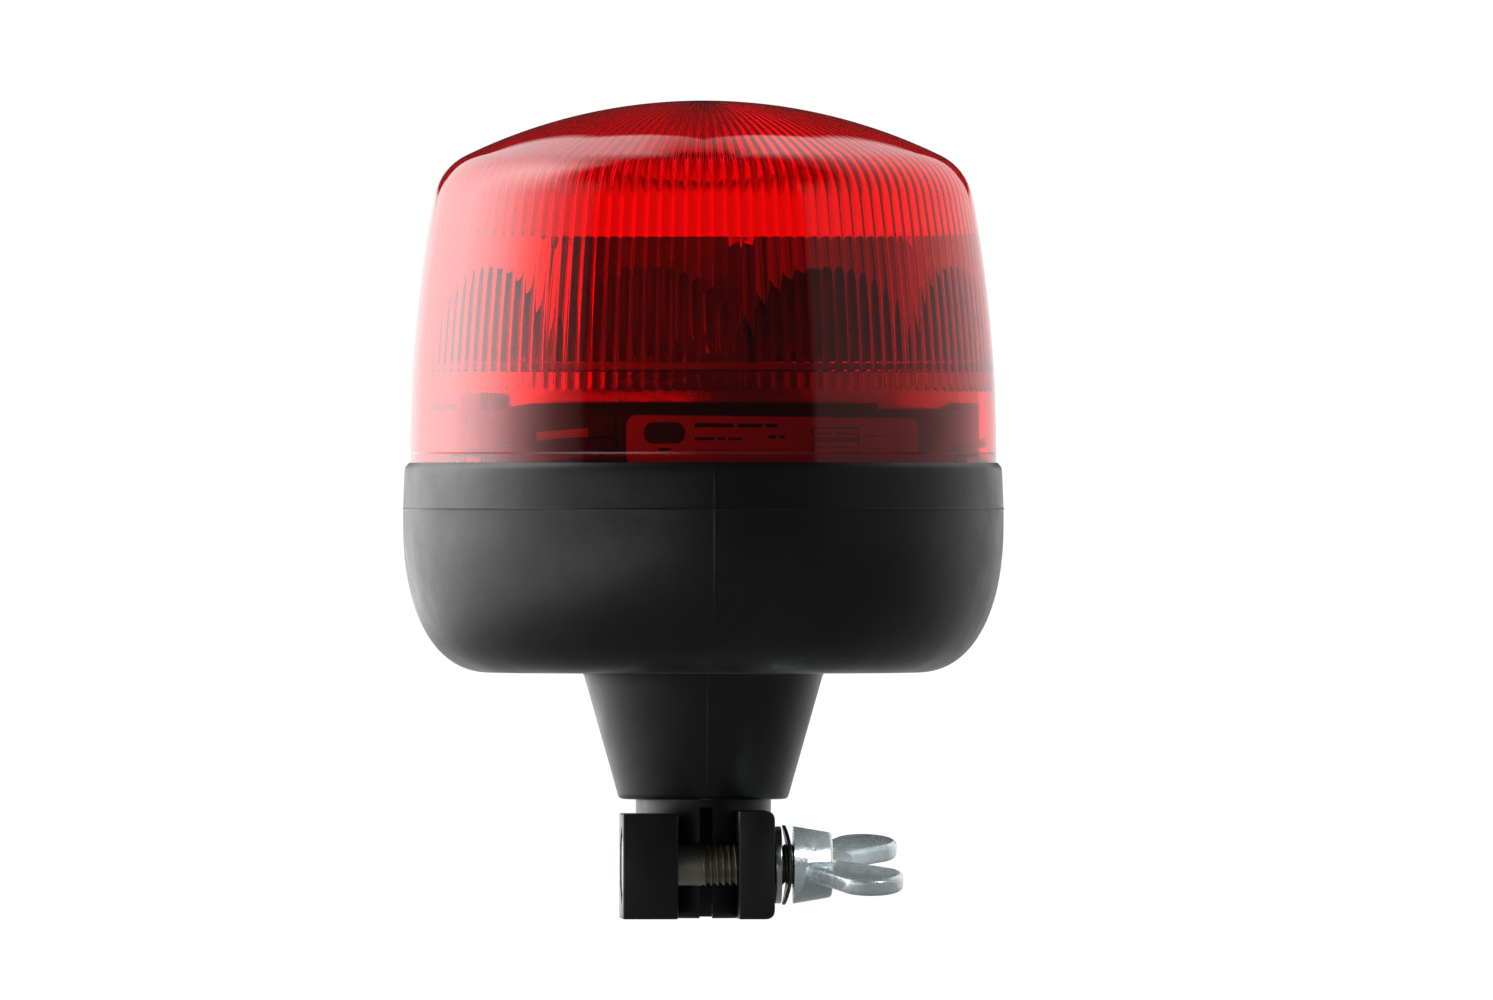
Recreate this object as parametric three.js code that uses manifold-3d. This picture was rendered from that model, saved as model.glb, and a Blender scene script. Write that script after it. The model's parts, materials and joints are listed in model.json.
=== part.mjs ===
// Pole-mounted LED warning beacon: a fluted red dome on a flexible rubber boot, held on a 24 mm stub
// pole by a split sleeve, a clamp bolt and a wing nut.
//
// Millimetres, +Z up. The origin is the centre of the pole sleeve's mouth. The split of the sleeve faces
// -Y, the wing nut points to +X. A bearing is an angle in degrees round +Z, 0 at the front (-Y), growing
// towards +X.

import * as THREE from "three";
import { mergeVertices } from "three/addons/utils/BufferGeometryUtils.js";
import Module from "manifold-3d";

const wasm = await Module();
wasm.setup();

// ---------------------------------------------------------------- driving dimensions

const GAP = 0.3; // left between pieces that touch
const ROUND = 32; // facets round a large turned piece
const FINE_ROUND = 48; // facets round the lens and the bowl that it turns in
const SMALL_ROUND = 20; // facets round a small one

const POLE_RADIUS = 12; // the standard stub pole that the sleeve slips over
const SLEEVE_BORE = POLE_RADIUS + 0.3;
const SLEEVE_RADIUS = 16;
const SLEEVE_EDGE = 1.8; // rounding of the mouth's outer edge
const SLEEVE_TOP = 42;
const SOCKET_DEPTH = 38;
const SLIT_WIDTH = 3;
const SLIT_TOP = 26.2;

const LUG_FRONT = -32; // front and back faces of the two clamp lugs
const LUG_BACK = -8;
const LEFT_LUG = { from: -20.2, to: -7.2, height: 24.8 };
const RIGHT_LUG = { from: 7.2, to: 15.6, height: 25.5, corner: 2.3 };

const BOLT_RADIUS = 4.9; // M10
const THREAD_HOLE = 5.25;
const BOLT_Y = -22.4;
const BOLT_Z = 12.7;
const BOLT_END = 30;
const HEX_ACROSS_FLATS = 16;
const HEX_HEIGHT = 6.2;

const WASHER_THICKNESS = 1.5;
const WASHER_RADIUS = 9.1;
const SPRING_WASHER = { radius: 9.4, hole: 5.4, thickness: 0.8, bow: 1.5 };
const NUT = { hubLength: 9.2, baseRadius: 9.2, endRadius: 7.6, height: 25.3, tipReach: 25.2 };
const WING = { tipRadius: 7.9, rootRadius: 4.6, thickness: 4.2, tilt: 12 };

const INSULATOR = { face: 34.5, shoulder: 37.7, top: 47, diskRadius: 11.9, barrelRadius: 8.1 };
const PIN = { tip: 29, radius: 3, collar: 4.2, collarBottom: 40.3, collarTop: 41.3 };
const CHAMBER = { radius: 4.6, bottom: 40, top: 45.6 };
const EARTH_TAB = { x: 6.3, halfWidth: 2, thickness: 0.8, top: 49 };

const STEM_BOTTOM = 28;
const STEM_TOP = 57.6;
const STEM_RADII = { bottom: 20.2, top: 28.4 };

const BOWL_FLOOR = 57.9;
const BOWL_RADIUS = 71;
const BOWL_FLAT = 50; // radius at which the floor turns up into the wall
const BOWL_CORNER_TOP = 94;
const BOWL_CORNER_POWER = 2.3; // superellipse exponent of the turned-up corner
const BOWL_WALL = 3.5;
const MOULD_LINE = 96.7;
const RIM_TOP = 106.5;
const LIP_BORE = 69.6;

const CUP_WALL = 2.5;
const CUP_TOP = 94.7;
const COLLAR_RADIUS = 65.2;
const COLLAR_WALL = 2.2;
const COLLAR_TOP = 120.9;
const FLANGE = { bottom: 95, top: 97.5, bore: 50, radius: 67.1 };
const TAB = { from: -62.2, sweep: 7.4, top: 124 }; // locating tab on the collar's upper edge
const WINDOW = { from: -39.2, sweep: 12.7, bottom: 112.4, top: 114.8, rise: 1 };
const LABEL = { from: -18.1, sweep: 65.2, bottom: 106, top: 118.6 };

const DOME_TOP = 193.2;
const LENS_WALL = 1.8;
const LENS_BOTTOM = 99.8;
const LENS_RADIUS = 69.3;
const DOME_ARC = 128; // radius of the cap
const SIDE_ARC = 330; // radius of the barrel-shaped side
const SIDE_ARC_Z = 110; // height at which the side is vertical
const SHOULDER_ARC = 14; // radius that joins the two

const BAYONETS = [0, 120, 240];
const OPPOSITE = [0, 180]; // turns of the collar's two windows and two locating tabs
const RIB = { from: -58.2, sweep: 37, bottom: 110.2, rise: 2.6, thickness: 0.8, reach: 67 };
const LENS_LUG = { from: -56.2, sweep: 10, bottom: 107.2, top: 109.3, bore: 66.1 };

const CELLS = 8;
const CELL_STEP = 360 / CELLS;
const CORNER_BEARING = 6.4; // bearing of one corner of the reflector
const REFLECTOR = { bottom: 131.1, top: 160.4, cornerRadius: 58.9 };
const REFLECTOR_CORE = { radius: 30, ceiling: 5.5 }; // hollow under its top plate
const DISH = { focus: 6, mouth: 22.2 };
const LED_BOARD = { bottom: 129.2, top: 130.8, radius: 61 };
const HEAT_SINK = { bottom: 117.5, top: 128.9, radius: 60.5, bore: 8, plate: 4 };
const SINK_SCREW_RING = 54;
const REFLECTOR_SCREW_RING = 14;

const GROMMET = { bore: 3, neck: 5, flange: 7, height: 2 };
const DRIVER_BOARD = { bottom: 84, top: 85.6, radius: 47.5 };
const BOARD_SCREW_RING = 42;
const COLLAR_SCREW_RING = 54;
const COLLAR_SCREW_TURN = 50;
const BOOT_SCREW_RING = 16;

// ---------------------------------------------------------------- materials

const paint = (color, roughness, metalness = 0) =>
  new THREE.MeshStandardMaterial({ color, roughness, metalness });

const MATERIALS = {
  lens: new THREE.MeshStandardMaterial({ color: 0xd00810, roughness: 0.05, transparent: true, opacity: 0.5 }),
  rubber: paint(0x232427, 0.75),
  housing: paint(0x17171a, 0.5),
  sleeve: paint(0x101011, 0.45),
  seal: paint(0x2b2b2d, 0.8),
  metallised: paint(0xd8dade, 0.12, 1),
  board: paint(0xe8e6df, 0.5),
  led: paint(0xd9c24a, 0.3),
  aluminium: paint(0xb4b6b8, 0.4, 1),
  zinc: paint(0xb9c6c9, 0.3, 1),
  darkSteel: paint(0x4a4d4f, 0.35, 1),
  brass: paint(0xc79a3c, 0.3, 1),
  label: paint(0xe9e9e4, 0.6),
  component: paint(0x1c1c1f, 0.4),
  insulator: paint(0xd7d2c4, 0.6),
  redWire: paint(0xa31515, 0.5),
  blackWire: paint(0x111113, 0.5),
};

// ---------------------------------------------------------------- shape helpers

const radians = THREE.MathUtils.degToRad;

/** Point at a radius and bearing. */
function at(radius, bearing, z = 0) {
  return new THREE.Vector3(radius * Math.sin(radians(bearing)), -radius * Math.cos(radians(bearing)), z);
}

/** Geometry with shared vertices and position only, as manifold-3d needs it. */
function welded(geometry) {
  const bare = geometry.clone();
  bare.deleteAttribute("normal");
  bare.deleteAttribute("uv");
  return mergeVertices(bare, 1e-4);
}

function toSolid(geometry) {
  const g = welded(geometry);
  return new wasm.Manifold(
    new wasm.Mesh({
      numProp: 3,
      vertProperties: new Float32Array(g.attributes.position.array),
      triVerts: new Uint32Array(g.index.array),
    }),
  );
}

function toGeometry(solid) {
  const mesh = solid.getMesh();
  const geometry = new THREE.BufferGeometry();
  geometry.setAttribute("position", new THREE.BufferAttribute(new Float32Array(mesh.vertProperties), 3));
  geometry.setIndex(new THREE.BufferAttribute(new Uint32Array(mesh.triVerts), 1));
  geometry.computeVertexNormals();
  return geometry;
}

/** Base geometry with others joined on, then others cut away. */
function combine(base, joined = [], cut = []) {
  let solid = toSolid(base);
  for (const g of joined) solid = solid.add(toSolid(g));
  for (const g of cut) solid = solid.subtract(toSolid(g));
  return toGeometry(solid);
}

/** Turns a closed outline of [radius, z] points round +Z, whichever way the outline runs. */
function turned(outline, facets = ROUND) {
  const points = outline.map(([r, z]) => new THREE.Vector2(r, z));
  if (THREE.ShapeUtils.area(points) < 0) points.reverse();
  const previous = (i) => points[(i + points.length - 1) % points.length];
  const onAxis = points.findIndex((p, i) => p.x === 0 && previous(i).x === 0);
  const start = Math.max(onAxis, 0);
  const ring = [...points.slice(start), ...points.slice(0, start)];
  if (onAxis < 0) ring.push(ring[0].clone());
  return new THREE.LatheGeometry(ring, facets).rotateX(Math.PI / 2);
}

/** Upright cylinder between two heights, moved to x, y. */
function rod(radius, z0, z1, x = 0, y = 0, facets = SMALL_ROUND) {
  return new THREE.CylinderGeometry(radius, radius, z1 - z0, facets)
    .rotateX(Math.PI / 2)
    .translate(x, y, (z0 + z1) / 2);
}

/** Cylinder along X on the clamp bolt's axis, turned about it by an angle in radians. */
function boltRod(radius, x0, x1, facets = SMALL_ROUND, turn = 0) {
  return new THREE.CylinderGeometry(radius, radius, x1 - x0, facets)
    .rotateZ(-Math.PI / 2)
    .rotateX(turn)
    .translate((x0 + x1) / 2, BOLT_Y, BOLT_Z);
}

function box(x0, x1, y0, y1, z0, z1) {
  const middle = [(x0 + x1) / 2, (y0 + y1) / 2, (z0 + z1) / 2];
  return new THREE.BoxGeometry(x1 - x0, y1 - y0, z1 - z0).translate(...middle);
}

/** Extruded sector of a ring from one bearing over a sweep; lift raises its far end, as on a ramp. */
function sector(inner, outer, z0, z1, from, sweep, lift = 0, steps = 6) {
  const shape = new THREE.Shape();
  const bearings = Array.from({ length: steps + 1 }, (_, i) => from + (sweep * i) / steps);
  const outerArc = bearings.map((b) => at(outer, b));
  const innerArc = bearings.map((b) => at(inner, b)).reverse();
  shape.setFromPoints([...outerArc, ...innerArc].map((p) => new THREE.Vector2(p.x, p.y)));
  const settings = { depth: z1 - z0, bevelEnabled: false };
  const geometry = new THREE.ExtrudeGeometry(shape, settings).translate(0, 0, z0);
  const position = geometry.attributes.position;
  for (let i = 0; lift && i < position.count; i++) {
    const bearing = THREE.MathUtils.radToDeg(Math.atan2(position.getX(i), -position.getY(i)));
    const along = THREE.MathUtils.euclideanModulo(bearing - from + 180, 360) - 180;
    position.setZ(i, position.getZ(i) + (lift * along) / sweep);
  }
  return geometry;
}

/** Tube along a smooth curve through points. */
function tube(points, radius, steps = 16, sides = 8) {
  const shape = new THREE.Shape();
  const ring = Array.from({ length: sides }, (_, i) => (2 * Math.PI * i) / sides);
  shape.setFromPoints(ring.map((a) => new THREE.Vector2(radius * Math.cos(a), radius * Math.sin(a))));
  const path = new THREE.CatmullRomCurve3(points);
  return new THREE.ExtrudeGeometry(shape, { steps, extrudePath: path, bevelEnabled: false });
}

/** Pan-head screw standing on z: head above it, shank below. */
function panScrew(headRadius, headHeight, shankRadius, shankLength, x, y, z) {
  const slotFloor = z + headHeight * 0.55;
  const slot = box(x - headRadius, x + headRadius, y - 0.4, y + 0.4, slotFloor, z + headHeight + 1);
  const head = rod(headRadius, z, z + headHeight, x, y, 12);
  return combine(head, [rod(shankRadius, z - shankLength, z + 0.5, x, y, 8)], [slot]);
}

// ---------------------------------------------------------------- assembly

const beacon = new THREE.Group();

function add(name, geometry, material) {
  const mesh = new THREE.Mesh(geometry, material);
  mesh.name = name;
  beacon.add(mesh);
  return mesh;
}

// ---------------------------------------------------------------- clamp and pole sleeve

/** Split sleeve with a blind bore for the pole and two lugs that the bolt squeezes together. */
function poleSleeve() {
  const left = LEFT_LUG;
  const right = RIGHT_LUG;
  const neck = INSULATOR.barrelRadius + GAP;
  const barrel = turned([
    [SLEEVE_BORE, 0],
    [SLEEVE_RADIUS - SLEEVE_EDGE, 0],
    [SLEEVE_RADIUS - SLEEVE_EDGE * 0.3, SLEEVE_EDGE * 0.3],
    [SLEEVE_RADIUS, SLEEVE_EDGE],
    [SLEEVE_RADIUS, SLEEVE_TOP],
    [neck, SLEEVE_TOP],
    [neck, SOCKET_DEPTH],
    [SLEEVE_BORE, SOCKET_DEPTH],
  ]);
  const leftLug = box(left.from, left.to, LUG_FRONT, LUG_BACK, 0, left.height);
  const rightProfile = new THREE.Shape();
  const c = right.corner;
  rightProfile.moveTo(right.from, 0);
  rightProfile.lineTo(right.to - c, 0);
  rightProfile.absarc(right.to - c, c, c, -Math.PI / 2, 0);
  rightProfile.absarc(right.to - c, right.height - c, c, 0, Math.PI / 2);
  rightProfile.lineTo(right.from, right.height);
  const depth = LUG_BACK - LUG_FRONT;
  const rightLug = new THREE.ExtrudeGeometry(rightProfile, { depth, bevelEnabled: false, curveSegments: 4 })
    .rotateX(Math.PI / 2)
    .translate(0, LUG_BACK, 0);
  const hexPocket = hexPrism(HEX_ACROSS_FLATS + 2 * GAP, left.from - 1, left.from + HEX_HEIGHT + 2 * GAP);
  return combine(barrel, [leftLug, rightLug], [
    rod(SLEEVE_BORE, -1, SLIT_TOP + 2, 0, 0, ROUND),
    box(-SLIT_WIDTH / 2, SLIT_WIDTH / 2, -SLEEVE_RADIUS - 2, 0, -1, SLIT_TOP),
    boltRod(THREAD_HOLE + 0.05, left.from - 1, right.to + 1),
    hexPocket,
  ]);
}

/** Hexagonal prism along X on the bolt's axis, with flats to the front and back. */
function hexPrism(acrossFlats, x0, x1) {
  return boltRod(acrossFlats / Math.sqrt(3), x0, x1, 6, Math.PI / 6);
}

function clampBolt() {
  const head = hexPrism(HEX_ACROSS_FLATS, LEFT_LUG.from + GAP, LEFT_LUG.from + GAP + HEX_HEIGHT);
  return combine(head, [boltRod(BOLT_RADIUS, LEFT_LUG.from + 1, BOLT_END)]);
}

/** Flat ring along X, bowed so that its middle stands proud, as a curved spring washer is. */
function washer(x, radius, hole, thickness, bow = 0) {
  const ring = new THREE.Shape();
  ring.absarc(0, 0, radius, 0, 2 * Math.PI);
  const bore = new THREE.Path();
  bore.absarc(0, 0, hole, 0, 2 * Math.PI);
  ring.holes.push(bore);
  const settings = { depth: thickness, bevelEnabled: false, curveSegments: SMALL_ROUND };
  const geometry = new THREE.ExtrudeGeometry(ring, settings).rotateY(Math.PI / 2);
  const position = geometry.attributes.position;
  for (let i = 0; bow && i < position.count; i++) {
    const height = position.getZ(i) / radius;
    position.setX(i, position.getX(i) + bow * (1 - height * height));
  }
  return geometry.translate(x, BOLT_Y, BOLT_Z);
}

/** Wing nut: a tapered hub with two rounded wings that lean outwards past its end. */
function wingNut(baseX) {
  const hub = new THREE.CylinderGeometry(NUT.endRadius, NUT.baseRadius, NUT.hubLength, SMALL_ROUND)
    .rotateZ(-Math.PI / 2)
    .translate(NUT.hubLength / 2, 0, 0);
  const tip = new THREE.Vector2(NUT.height - WING.tipRadius, NUT.tipReach - WING.tipRadius);
  const root = new THREE.Vector2(NUT.hubLength * 0.55, NUT.endRadius * 0.5);
  const lean = Math.atan2(tip.y - root.y, tip.x - root.x);
  const outline = new THREE.Shape();
  outline.absarc(tip.x, tip.y, WING.tipRadius, lean - Math.PI / 2, lean + Math.PI / 2);
  outline.absarc(root.x, root.y, WING.rootRadius, lean + Math.PI / 2, lean + (3 * Math.PI) / 2);
  const settings = { depth: WING.thickness, bevelEnabled: false, curveSegments: 12 };
  const wing = new THREE.ExtrudeGeometry(outline, settings).translate(0, 0, -WING.thickness / 2);
  const bore = new THREE.CylinderGeometry(THREAD_HOLE, THREAD_HOLE, 40, SMALL_ROUND).rotateZ(Math.PI / 2);
  const nut = combine(hub, [wing, wing.clone().rotateX(Math.PI)], [bore]);
  return nut.rotateX(radians(WING.tilt)).translate(baseX, BOLT_Y, BOLT_Z);
}

const washerX = RIGHT_LUG.to + GAP;
const springX = washerX + WASHER_THICKNESS + 0.2;
const nutX = springX + SPRING_WASHER.bow + SPRING_WASHER.thickness + GAP;

add("pole_sleeve", poleSleeve(), MATERIALS.sleeve);
add("clamp_bolt", clampBolt(), MATERIALS.zinc);
add("flat_washer", washer(washerX, WASHER_RADIUS, THREAD_HOLE, WASHER_THICKNESS), MATERIALS.zinc);
add(
  "spring_washer",
  washer(springX, SPRING_WASHER.radius, SPRING_WASHER.hole, SPRING_WASHER.thickness, SPRING_WASHER.bow),
  MATERIALS.darkSteel,
);
add("wing_nut", wingNut(nutX), MATERIALS.zinc);

// ---------------------------------------------------------------- electrical contact in the socket

/** Stepped plug with a chamber for the spring contact and a slot for the earth tab. */
function contactInsulator() {
  const plug = turned([
    [PIN.radius + 0.4, INSULATOR.face],
    [INSULATOR.diskRadius, INSULATOR.face],
    [INSULATOR.diskRadius, INSULATOR.shoulder],
    [INSULATOR.barrelRadius, INSULATOR.shoulder],
    [INSULATOR.barrelRadius, INSULATOR.top],
    [CHAMBER.radius, INSULATOR.top],
    [CHAMBER.radius, CHAMBER.bottom],
    [PIN.radius + 0.4, CHAMBER.bottom],
  ], SMALL_ROUND);
  const { x, halfWidth, thickness } = EARTH_TAB;
  return combine(plug, [], [box(x - GAP, x + thickness + GAP, -halfWidth - GAP, halfWidth + GAP, 30, 50)]);
}

function centreContact() {
  const { tip, radius, collar, collarBottom, collarTop } = PIN;
  return turned([[0, tip], [1.4, tip], [radius, tip + 1.6], [radius, collarBottom], [collar, collarBottom],
    [collar, collarTop], [1.6, collarTop], [1.6, collarTop + 0.9], [0, collarTop + 0.9]], 20);
}

/** Compression spring above the contact's collar. */
function contactSpring() {
  const wire = 0.35;
  const turns = 3;
  const radius = 3.4;
  const z0 = PIN.collarTop + GAP + wire;
  const z1 = CHAMBER.top - GAP - wire;
  const points = Array.from({ length: turns * 8 + 1 }, (_, i) => {
    const angle = (i * Math.PI) / 4;
    const z = z0 + ((z1 - z0) * i) / (turns * 8);
    return new THREE.Vector3(radius * Math.cos(angle), radius * Math.sin(angle), z);
  });
  return tube(points, wire, turns * 8, 5);
}

/** Ring that the pole's end touches, with a tab up through the insulator. */
function earthRing() {
  const { x, halfWidth, thickness, top } = EARTH_TAB;
  const ring = turned([[9.6, 33.2], [11.9, 33.2], [11.9, 34.1], [9.6, 34.1]], SMALL_ROUND);
  const foot = box(x, 10.5, -halfWidth, halfWidth, 33.3, 34);
  return combine(ring, [foot, box(x, x + thickness, -halfWidth, halfWidth, 33.3, top)]);
}

/** Cap that closes the chamber and takes the supply wire. */
function contactTerminal() {
  const radius = CHAMBER.radius - GAP;
  const top = INSULATOR.top + GAP;
  const cap = turned([[0, CHAMBER.top], [radius, CHAMBER.top], [radius, top], [0, top]], SMALL_ROUND);
  return combine(cap, [box(-1.5, 1.5, -1.9, -1.1, INSULATOR.top, EARTH_TAB.top)]);
}

add("contact_insulator", contactInsulator(), MATERIALS.insulator);
add("centre_contact", centreContact(), MATERIALS.brass);
add("contact_spring", contactSpring(), MATERIALS.zinc);
add("contact_terminal", contactTerminal(), MATERIALS.brass);
add("earth_ring", earthRing(), MATERIALS.brass);

// ---------------------------------------------------------------- rubber boot

/** Outline from the bowl's flat floor up its turned-up corner, set in by a wall thickness. */
function bowlCorner(inset, steps = 5) {
  const power = 2 / BOWL_CORNER_POWER;
  const across = BOWL_RADIUS - BOWL_FLAT - inset;
  const up = BOWL_CORNER_TOP - BOWL_FLOOR - inset;
  return Array.from({ length: steps + 1 }, (_, i) => {
    const angle = (Math.PI * i) / (2 * steps);
    const r = BOWL_FLAT + across * Math.sin(angle) ** power;
    return [r, BOWL_CORNER_TOP - up * Math.cos(angle) ** power];
  });
}

function rubberBowl() {
  const bowl = turned([
    [12, BOWL_FLOOR],
    ...bowlCorner(0),
    [BOWL_RADIUS, MOULD_LINE - 0.3],
    [BOWL_RADIUS + 0.15, MOULD_LINE],
    [BOWL_RADIUS - 0.1, MOULD_LINE + 0.3],
    [BOWL_RADIUS - 0.4, RIM_TOP - 0.4],
    [BOWL_RADIUS - 0.8, RIM_TOP],
    [LIP_BORE, RIM_TOP],
    [LIP_BORE, FLANGE.top + 0.3],
    [BOWL_RADIUS - BOWL_WALL, FLANGE.top],
    ...bowlCorner(BOWL_WALL).reverse(),
    [12, BOWL_FLOOR + BOWL_WALL],
  ], FINE_ROUND);
  const holes = bootScrewPlaces().map((p) => rod(2.5, BOWL_FLOOR - 1, BOWL_FLOOR + 5, p.x, p.y, 12));
  return combine(bowl, [], holes);
}

/** Three places on a ring, the first at a bearing. */
function threePlaces(radius, bearing) {
  return [0, 120, 240].map((turn) => at(radius, bearing + turn));
}

function bootScrewPlaces() {
  return threePlaces(BOOT_SCREW_RING, 60);
}

/** Tapered rubber stem, bonded round the sleeve, hollow above it for the wires and a plate. */
function rubberStem() {
  const { bottom, top } = STEM_RADII;
  const rounding = 1.2;
  return turned([
    [SLEEVE_RADIUS + GAP, STEM_BOTTOM],
    [bottom - rounding, STEM_BOTTOM],
    [bottom, STEM_BOTTOM + rounding],
    [top, STEM_TOP],
    [21.3, STEM_TOP],
    [21.3, STEM_TOP - 3.6],
    [9.4, STEM_TOP - 3.6],
    [9.4, SLEEVE_TOP + GAP],
    [SLEEVE_RADIUS + GAP, SLEEVE_TOP + GAP],
  ]);
}

/** Steel plate in the top of the stem that the boot screws pull against. */
function insertPlate() {
  const bottom = STEM_TOP - 3.2;
  const top = STEM_TOP - 0.2;
  const plate = turned([[7, bottom], [21, bottom], [21, top], [7, top]], ROUND);
  return combine(plate, [], bootScrewPlaces().map((p) => rod(2.3, STEM_TOP - 5, STEM_TOP + 1, p.x, p.y, 12)));
}

add("rubber_stem", rubberStem(), MATERIALS.rubber);
add("insert_plate", insertPlate(), MATERIALS.zinc);
add("rubber_bowl", rubberBowl(), MATERIALS.rubber);
bootScrewPlaces().forEach((p, i) =>
  add(`boot_screw_${i + 1}`, panScrew(4.2, 2.4, 1.9, 9.8, p.x, p.y, cupFloorTop() + GAP), MATERIALS.zinc),
);

// ---------------------------------------------------------------- housing

function cupFloorTop() {
  return BOWL_FLOOR + BOWL_WALL + 2 * GAP + CUP_WALL;
}

/** Cup that fills the bowl, with pillars for the collar's screws and posts for the driver board. */
function housingCup() {
  const outer = BOWL_WALL + 2 * GAP;
  const side = BOWL_RADIUS - outer;
  const envelope = turned([[0, BOWL_FLOOR + outer], ...bowlCorner(outer), [side, CUP_TOP], [0, CUP_TOP]]);
  const inner = outer + CUP_WALL;
  const above = CUP_TOP + 1;
  const hollow = turned([[0, cupFloorTop()], ...bowlCorner(inner), [side - CUP_WALL, above], [0, above]]);
  const pillars = collarScrewPlaces();
  const posts = boardScrewPlaces();
  const postTop = DRIVER_BOARD.bottom - GAP;
  const kept = [
    ...pillars.map((p) => rod(4, BOWL_FLOOR, CUP_TOP + 2, p.x, p.y, 14)),
    ...posts.map((p) => rod(3.5, BOWL_FLOOR, postTop, p.x, p.y, 14)),
  ];
  return combine(envelope, [], [
    combine(hollow, [], kept),
    ...pillars.map((p) => rod(1.9, CUP_TOP - 12, CUP_TOP + 1, p.x, p.y, 10)),
    ...posts.map((p) => rod(1.7, postTop - 10, postTop + 1, p.x, p.y, 10)),
    ...bootScrewPlaces().map((p) => rod(2.3, BOWL_FLOOR, cupFloorTop() + 1, p.x, p.y, 12)),
    rod(GROMMET.neck + GAP, BOWL_FLOOR, cupFloorTop() + 1, 0, 0, 20),
  ]);
}

function collarScrewPlaces() {
  return threePlaces(COLLAR_SCREW_RING, COLLAR_SCREW_TURN);
}

function boardScrewPlaces() {
  return threePlaces(BOARD_SCREW_RING, 60);
}

/** Collar that carries the lens: flange, upright ring, ramped bayonet ribs, windows and locating tabs. */
function housingCollar() {
  const ring = turned([
    [FLANGE.bore, FLANGE.bottom],
    [FLANGE.radius, FLANGE.bottom],
    [FLANGE.radius, FLANGE.top],
    [COLLAR_RADIUS, FLANGE.top],
    [COLLAR_RADIUS, COLLAR_TOP],
    [COLLAR_RADIUS - COLLAR_WALL, COLLAR_TOP],
    [COLLAR_RADIUS - COLLAR_WALL, FLANGE.top],
    [FLANGE.bore, FLANGE.top],
  ]);
  const inside = COLLAR_RADIUS - 0.8;
  const ribTop = RIB.bottom + RIB.thickness;
  const ribs = BAYONETS.flatMap((turn) => [
    sector(inside, RIB.reach, RIB.bottom, ribTop, RIB.from + turn, RIB.sweep, RIB.rise),
    sector(inside, RIB.reach, LENS_LUG.bottom - 0.4, ribTop, RIB.from + turn - 1.5, 2, 0, 1),
  ]);
  const tabs = OPPOSITE.map((turn) =>
    sector(COLLAR_RADIUS - COLLAR_WALL, COLLAR_RADIUS, COLLAR_TOP - 1, TAB.top, TAB.from + turn, TAB.sweep),
  );
  const bosses = sinkScrewPlaces().map((p) => rod(4, FLANGE.bottom, HEAT_SINK.bottom - GAP, p.x, p.y, 16));
  const { from, sweep, bottom, top, rise } = WINDOW;
  const outside = COLLAR_RADIUS + 1;
  const windows = OPPOSITE.map((turn) => sector(inside - 3, outside, bottom, top, from + turn, sweep, rise));
  return combine(ring, [...ribs, ...tabs, ...bosses], [
    ...windows,
    ...sinkScrewPlaces().map((p) => rod(1.7, HEAT_SINK.bottom - 10, HEAT_SINK.bottom + 1, p.x, p.y, 10)),
    ...collarScrewPlaces().map((p) => rod(2.3, FLANGE.bottom - 1, FLANGE.top + 1, p.x, p.y, 12)),
  ]);
}

function sinkScrewPlaces() {
  return [0, 90, 180, 270].map((turn) => at(SINK_SCREW_RING, CORNER_BEARING + turn));
}

/** Rating plate wrapped round the collar. */
function ratingLabel() {
  const { from, sweep, bottom, top } = LABEL;
  return sector(COLLAR_RADIUS + GAP, COLLAR_RADIUS + 2 * GAP, bottom, top, from, sweep, 0, 14);
}

add("housing_cup", housingCup(), MATERIALS.housing);
add("housing_collar", housingCollar(), MATERIALS.housing);
add("rating_label", ratingLabel(), MATERIALS.label);
collarScrewPlaces().forEach((p, i) =>
  add(`collar_screw_${i + 1}`, panScrew(3.6, 2.2, 1.6, 12, p.x, p.y, FLANGE.top + GAP), MATERIALS.zinc),
);

/** Flanged sleeve that the two wires pass through. */
function cableGrommet() {
  const { bore, neck, flange, height } = GROMMET;
  const bottom = BOWL_FLOOR + BOWL_WALL + 2 * GAP;
  const seat = cupFloorTop() + GAP;
  const top = seat + height;
  return turned([
    [bore, bottom],
    [neck, bottom],
    [neck, seat],
    [flange, seat],
    [flange - 0.8, top],
    [bore, top],
  ], SMALL_ROUND);
}

add("cable_grommet", cableGrommet(), MATERIALS.seal);

// ---------------------------------------------------------------- driver electronics

function driverBoard() {
  const disc = rod(DRIVER_BOARD.radius, DRIVER_BOARD.bottom, DRIVER_BOARD.top, 0, 0, ROUND);
  return combine(disc, [], [
    ...boardScrewPlaces().map((p) => rod(2, 80, 90, p.x, p.y, 12)),
    rod(4, 80, 90, 0, -14, 16),
  ]);
}

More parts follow.
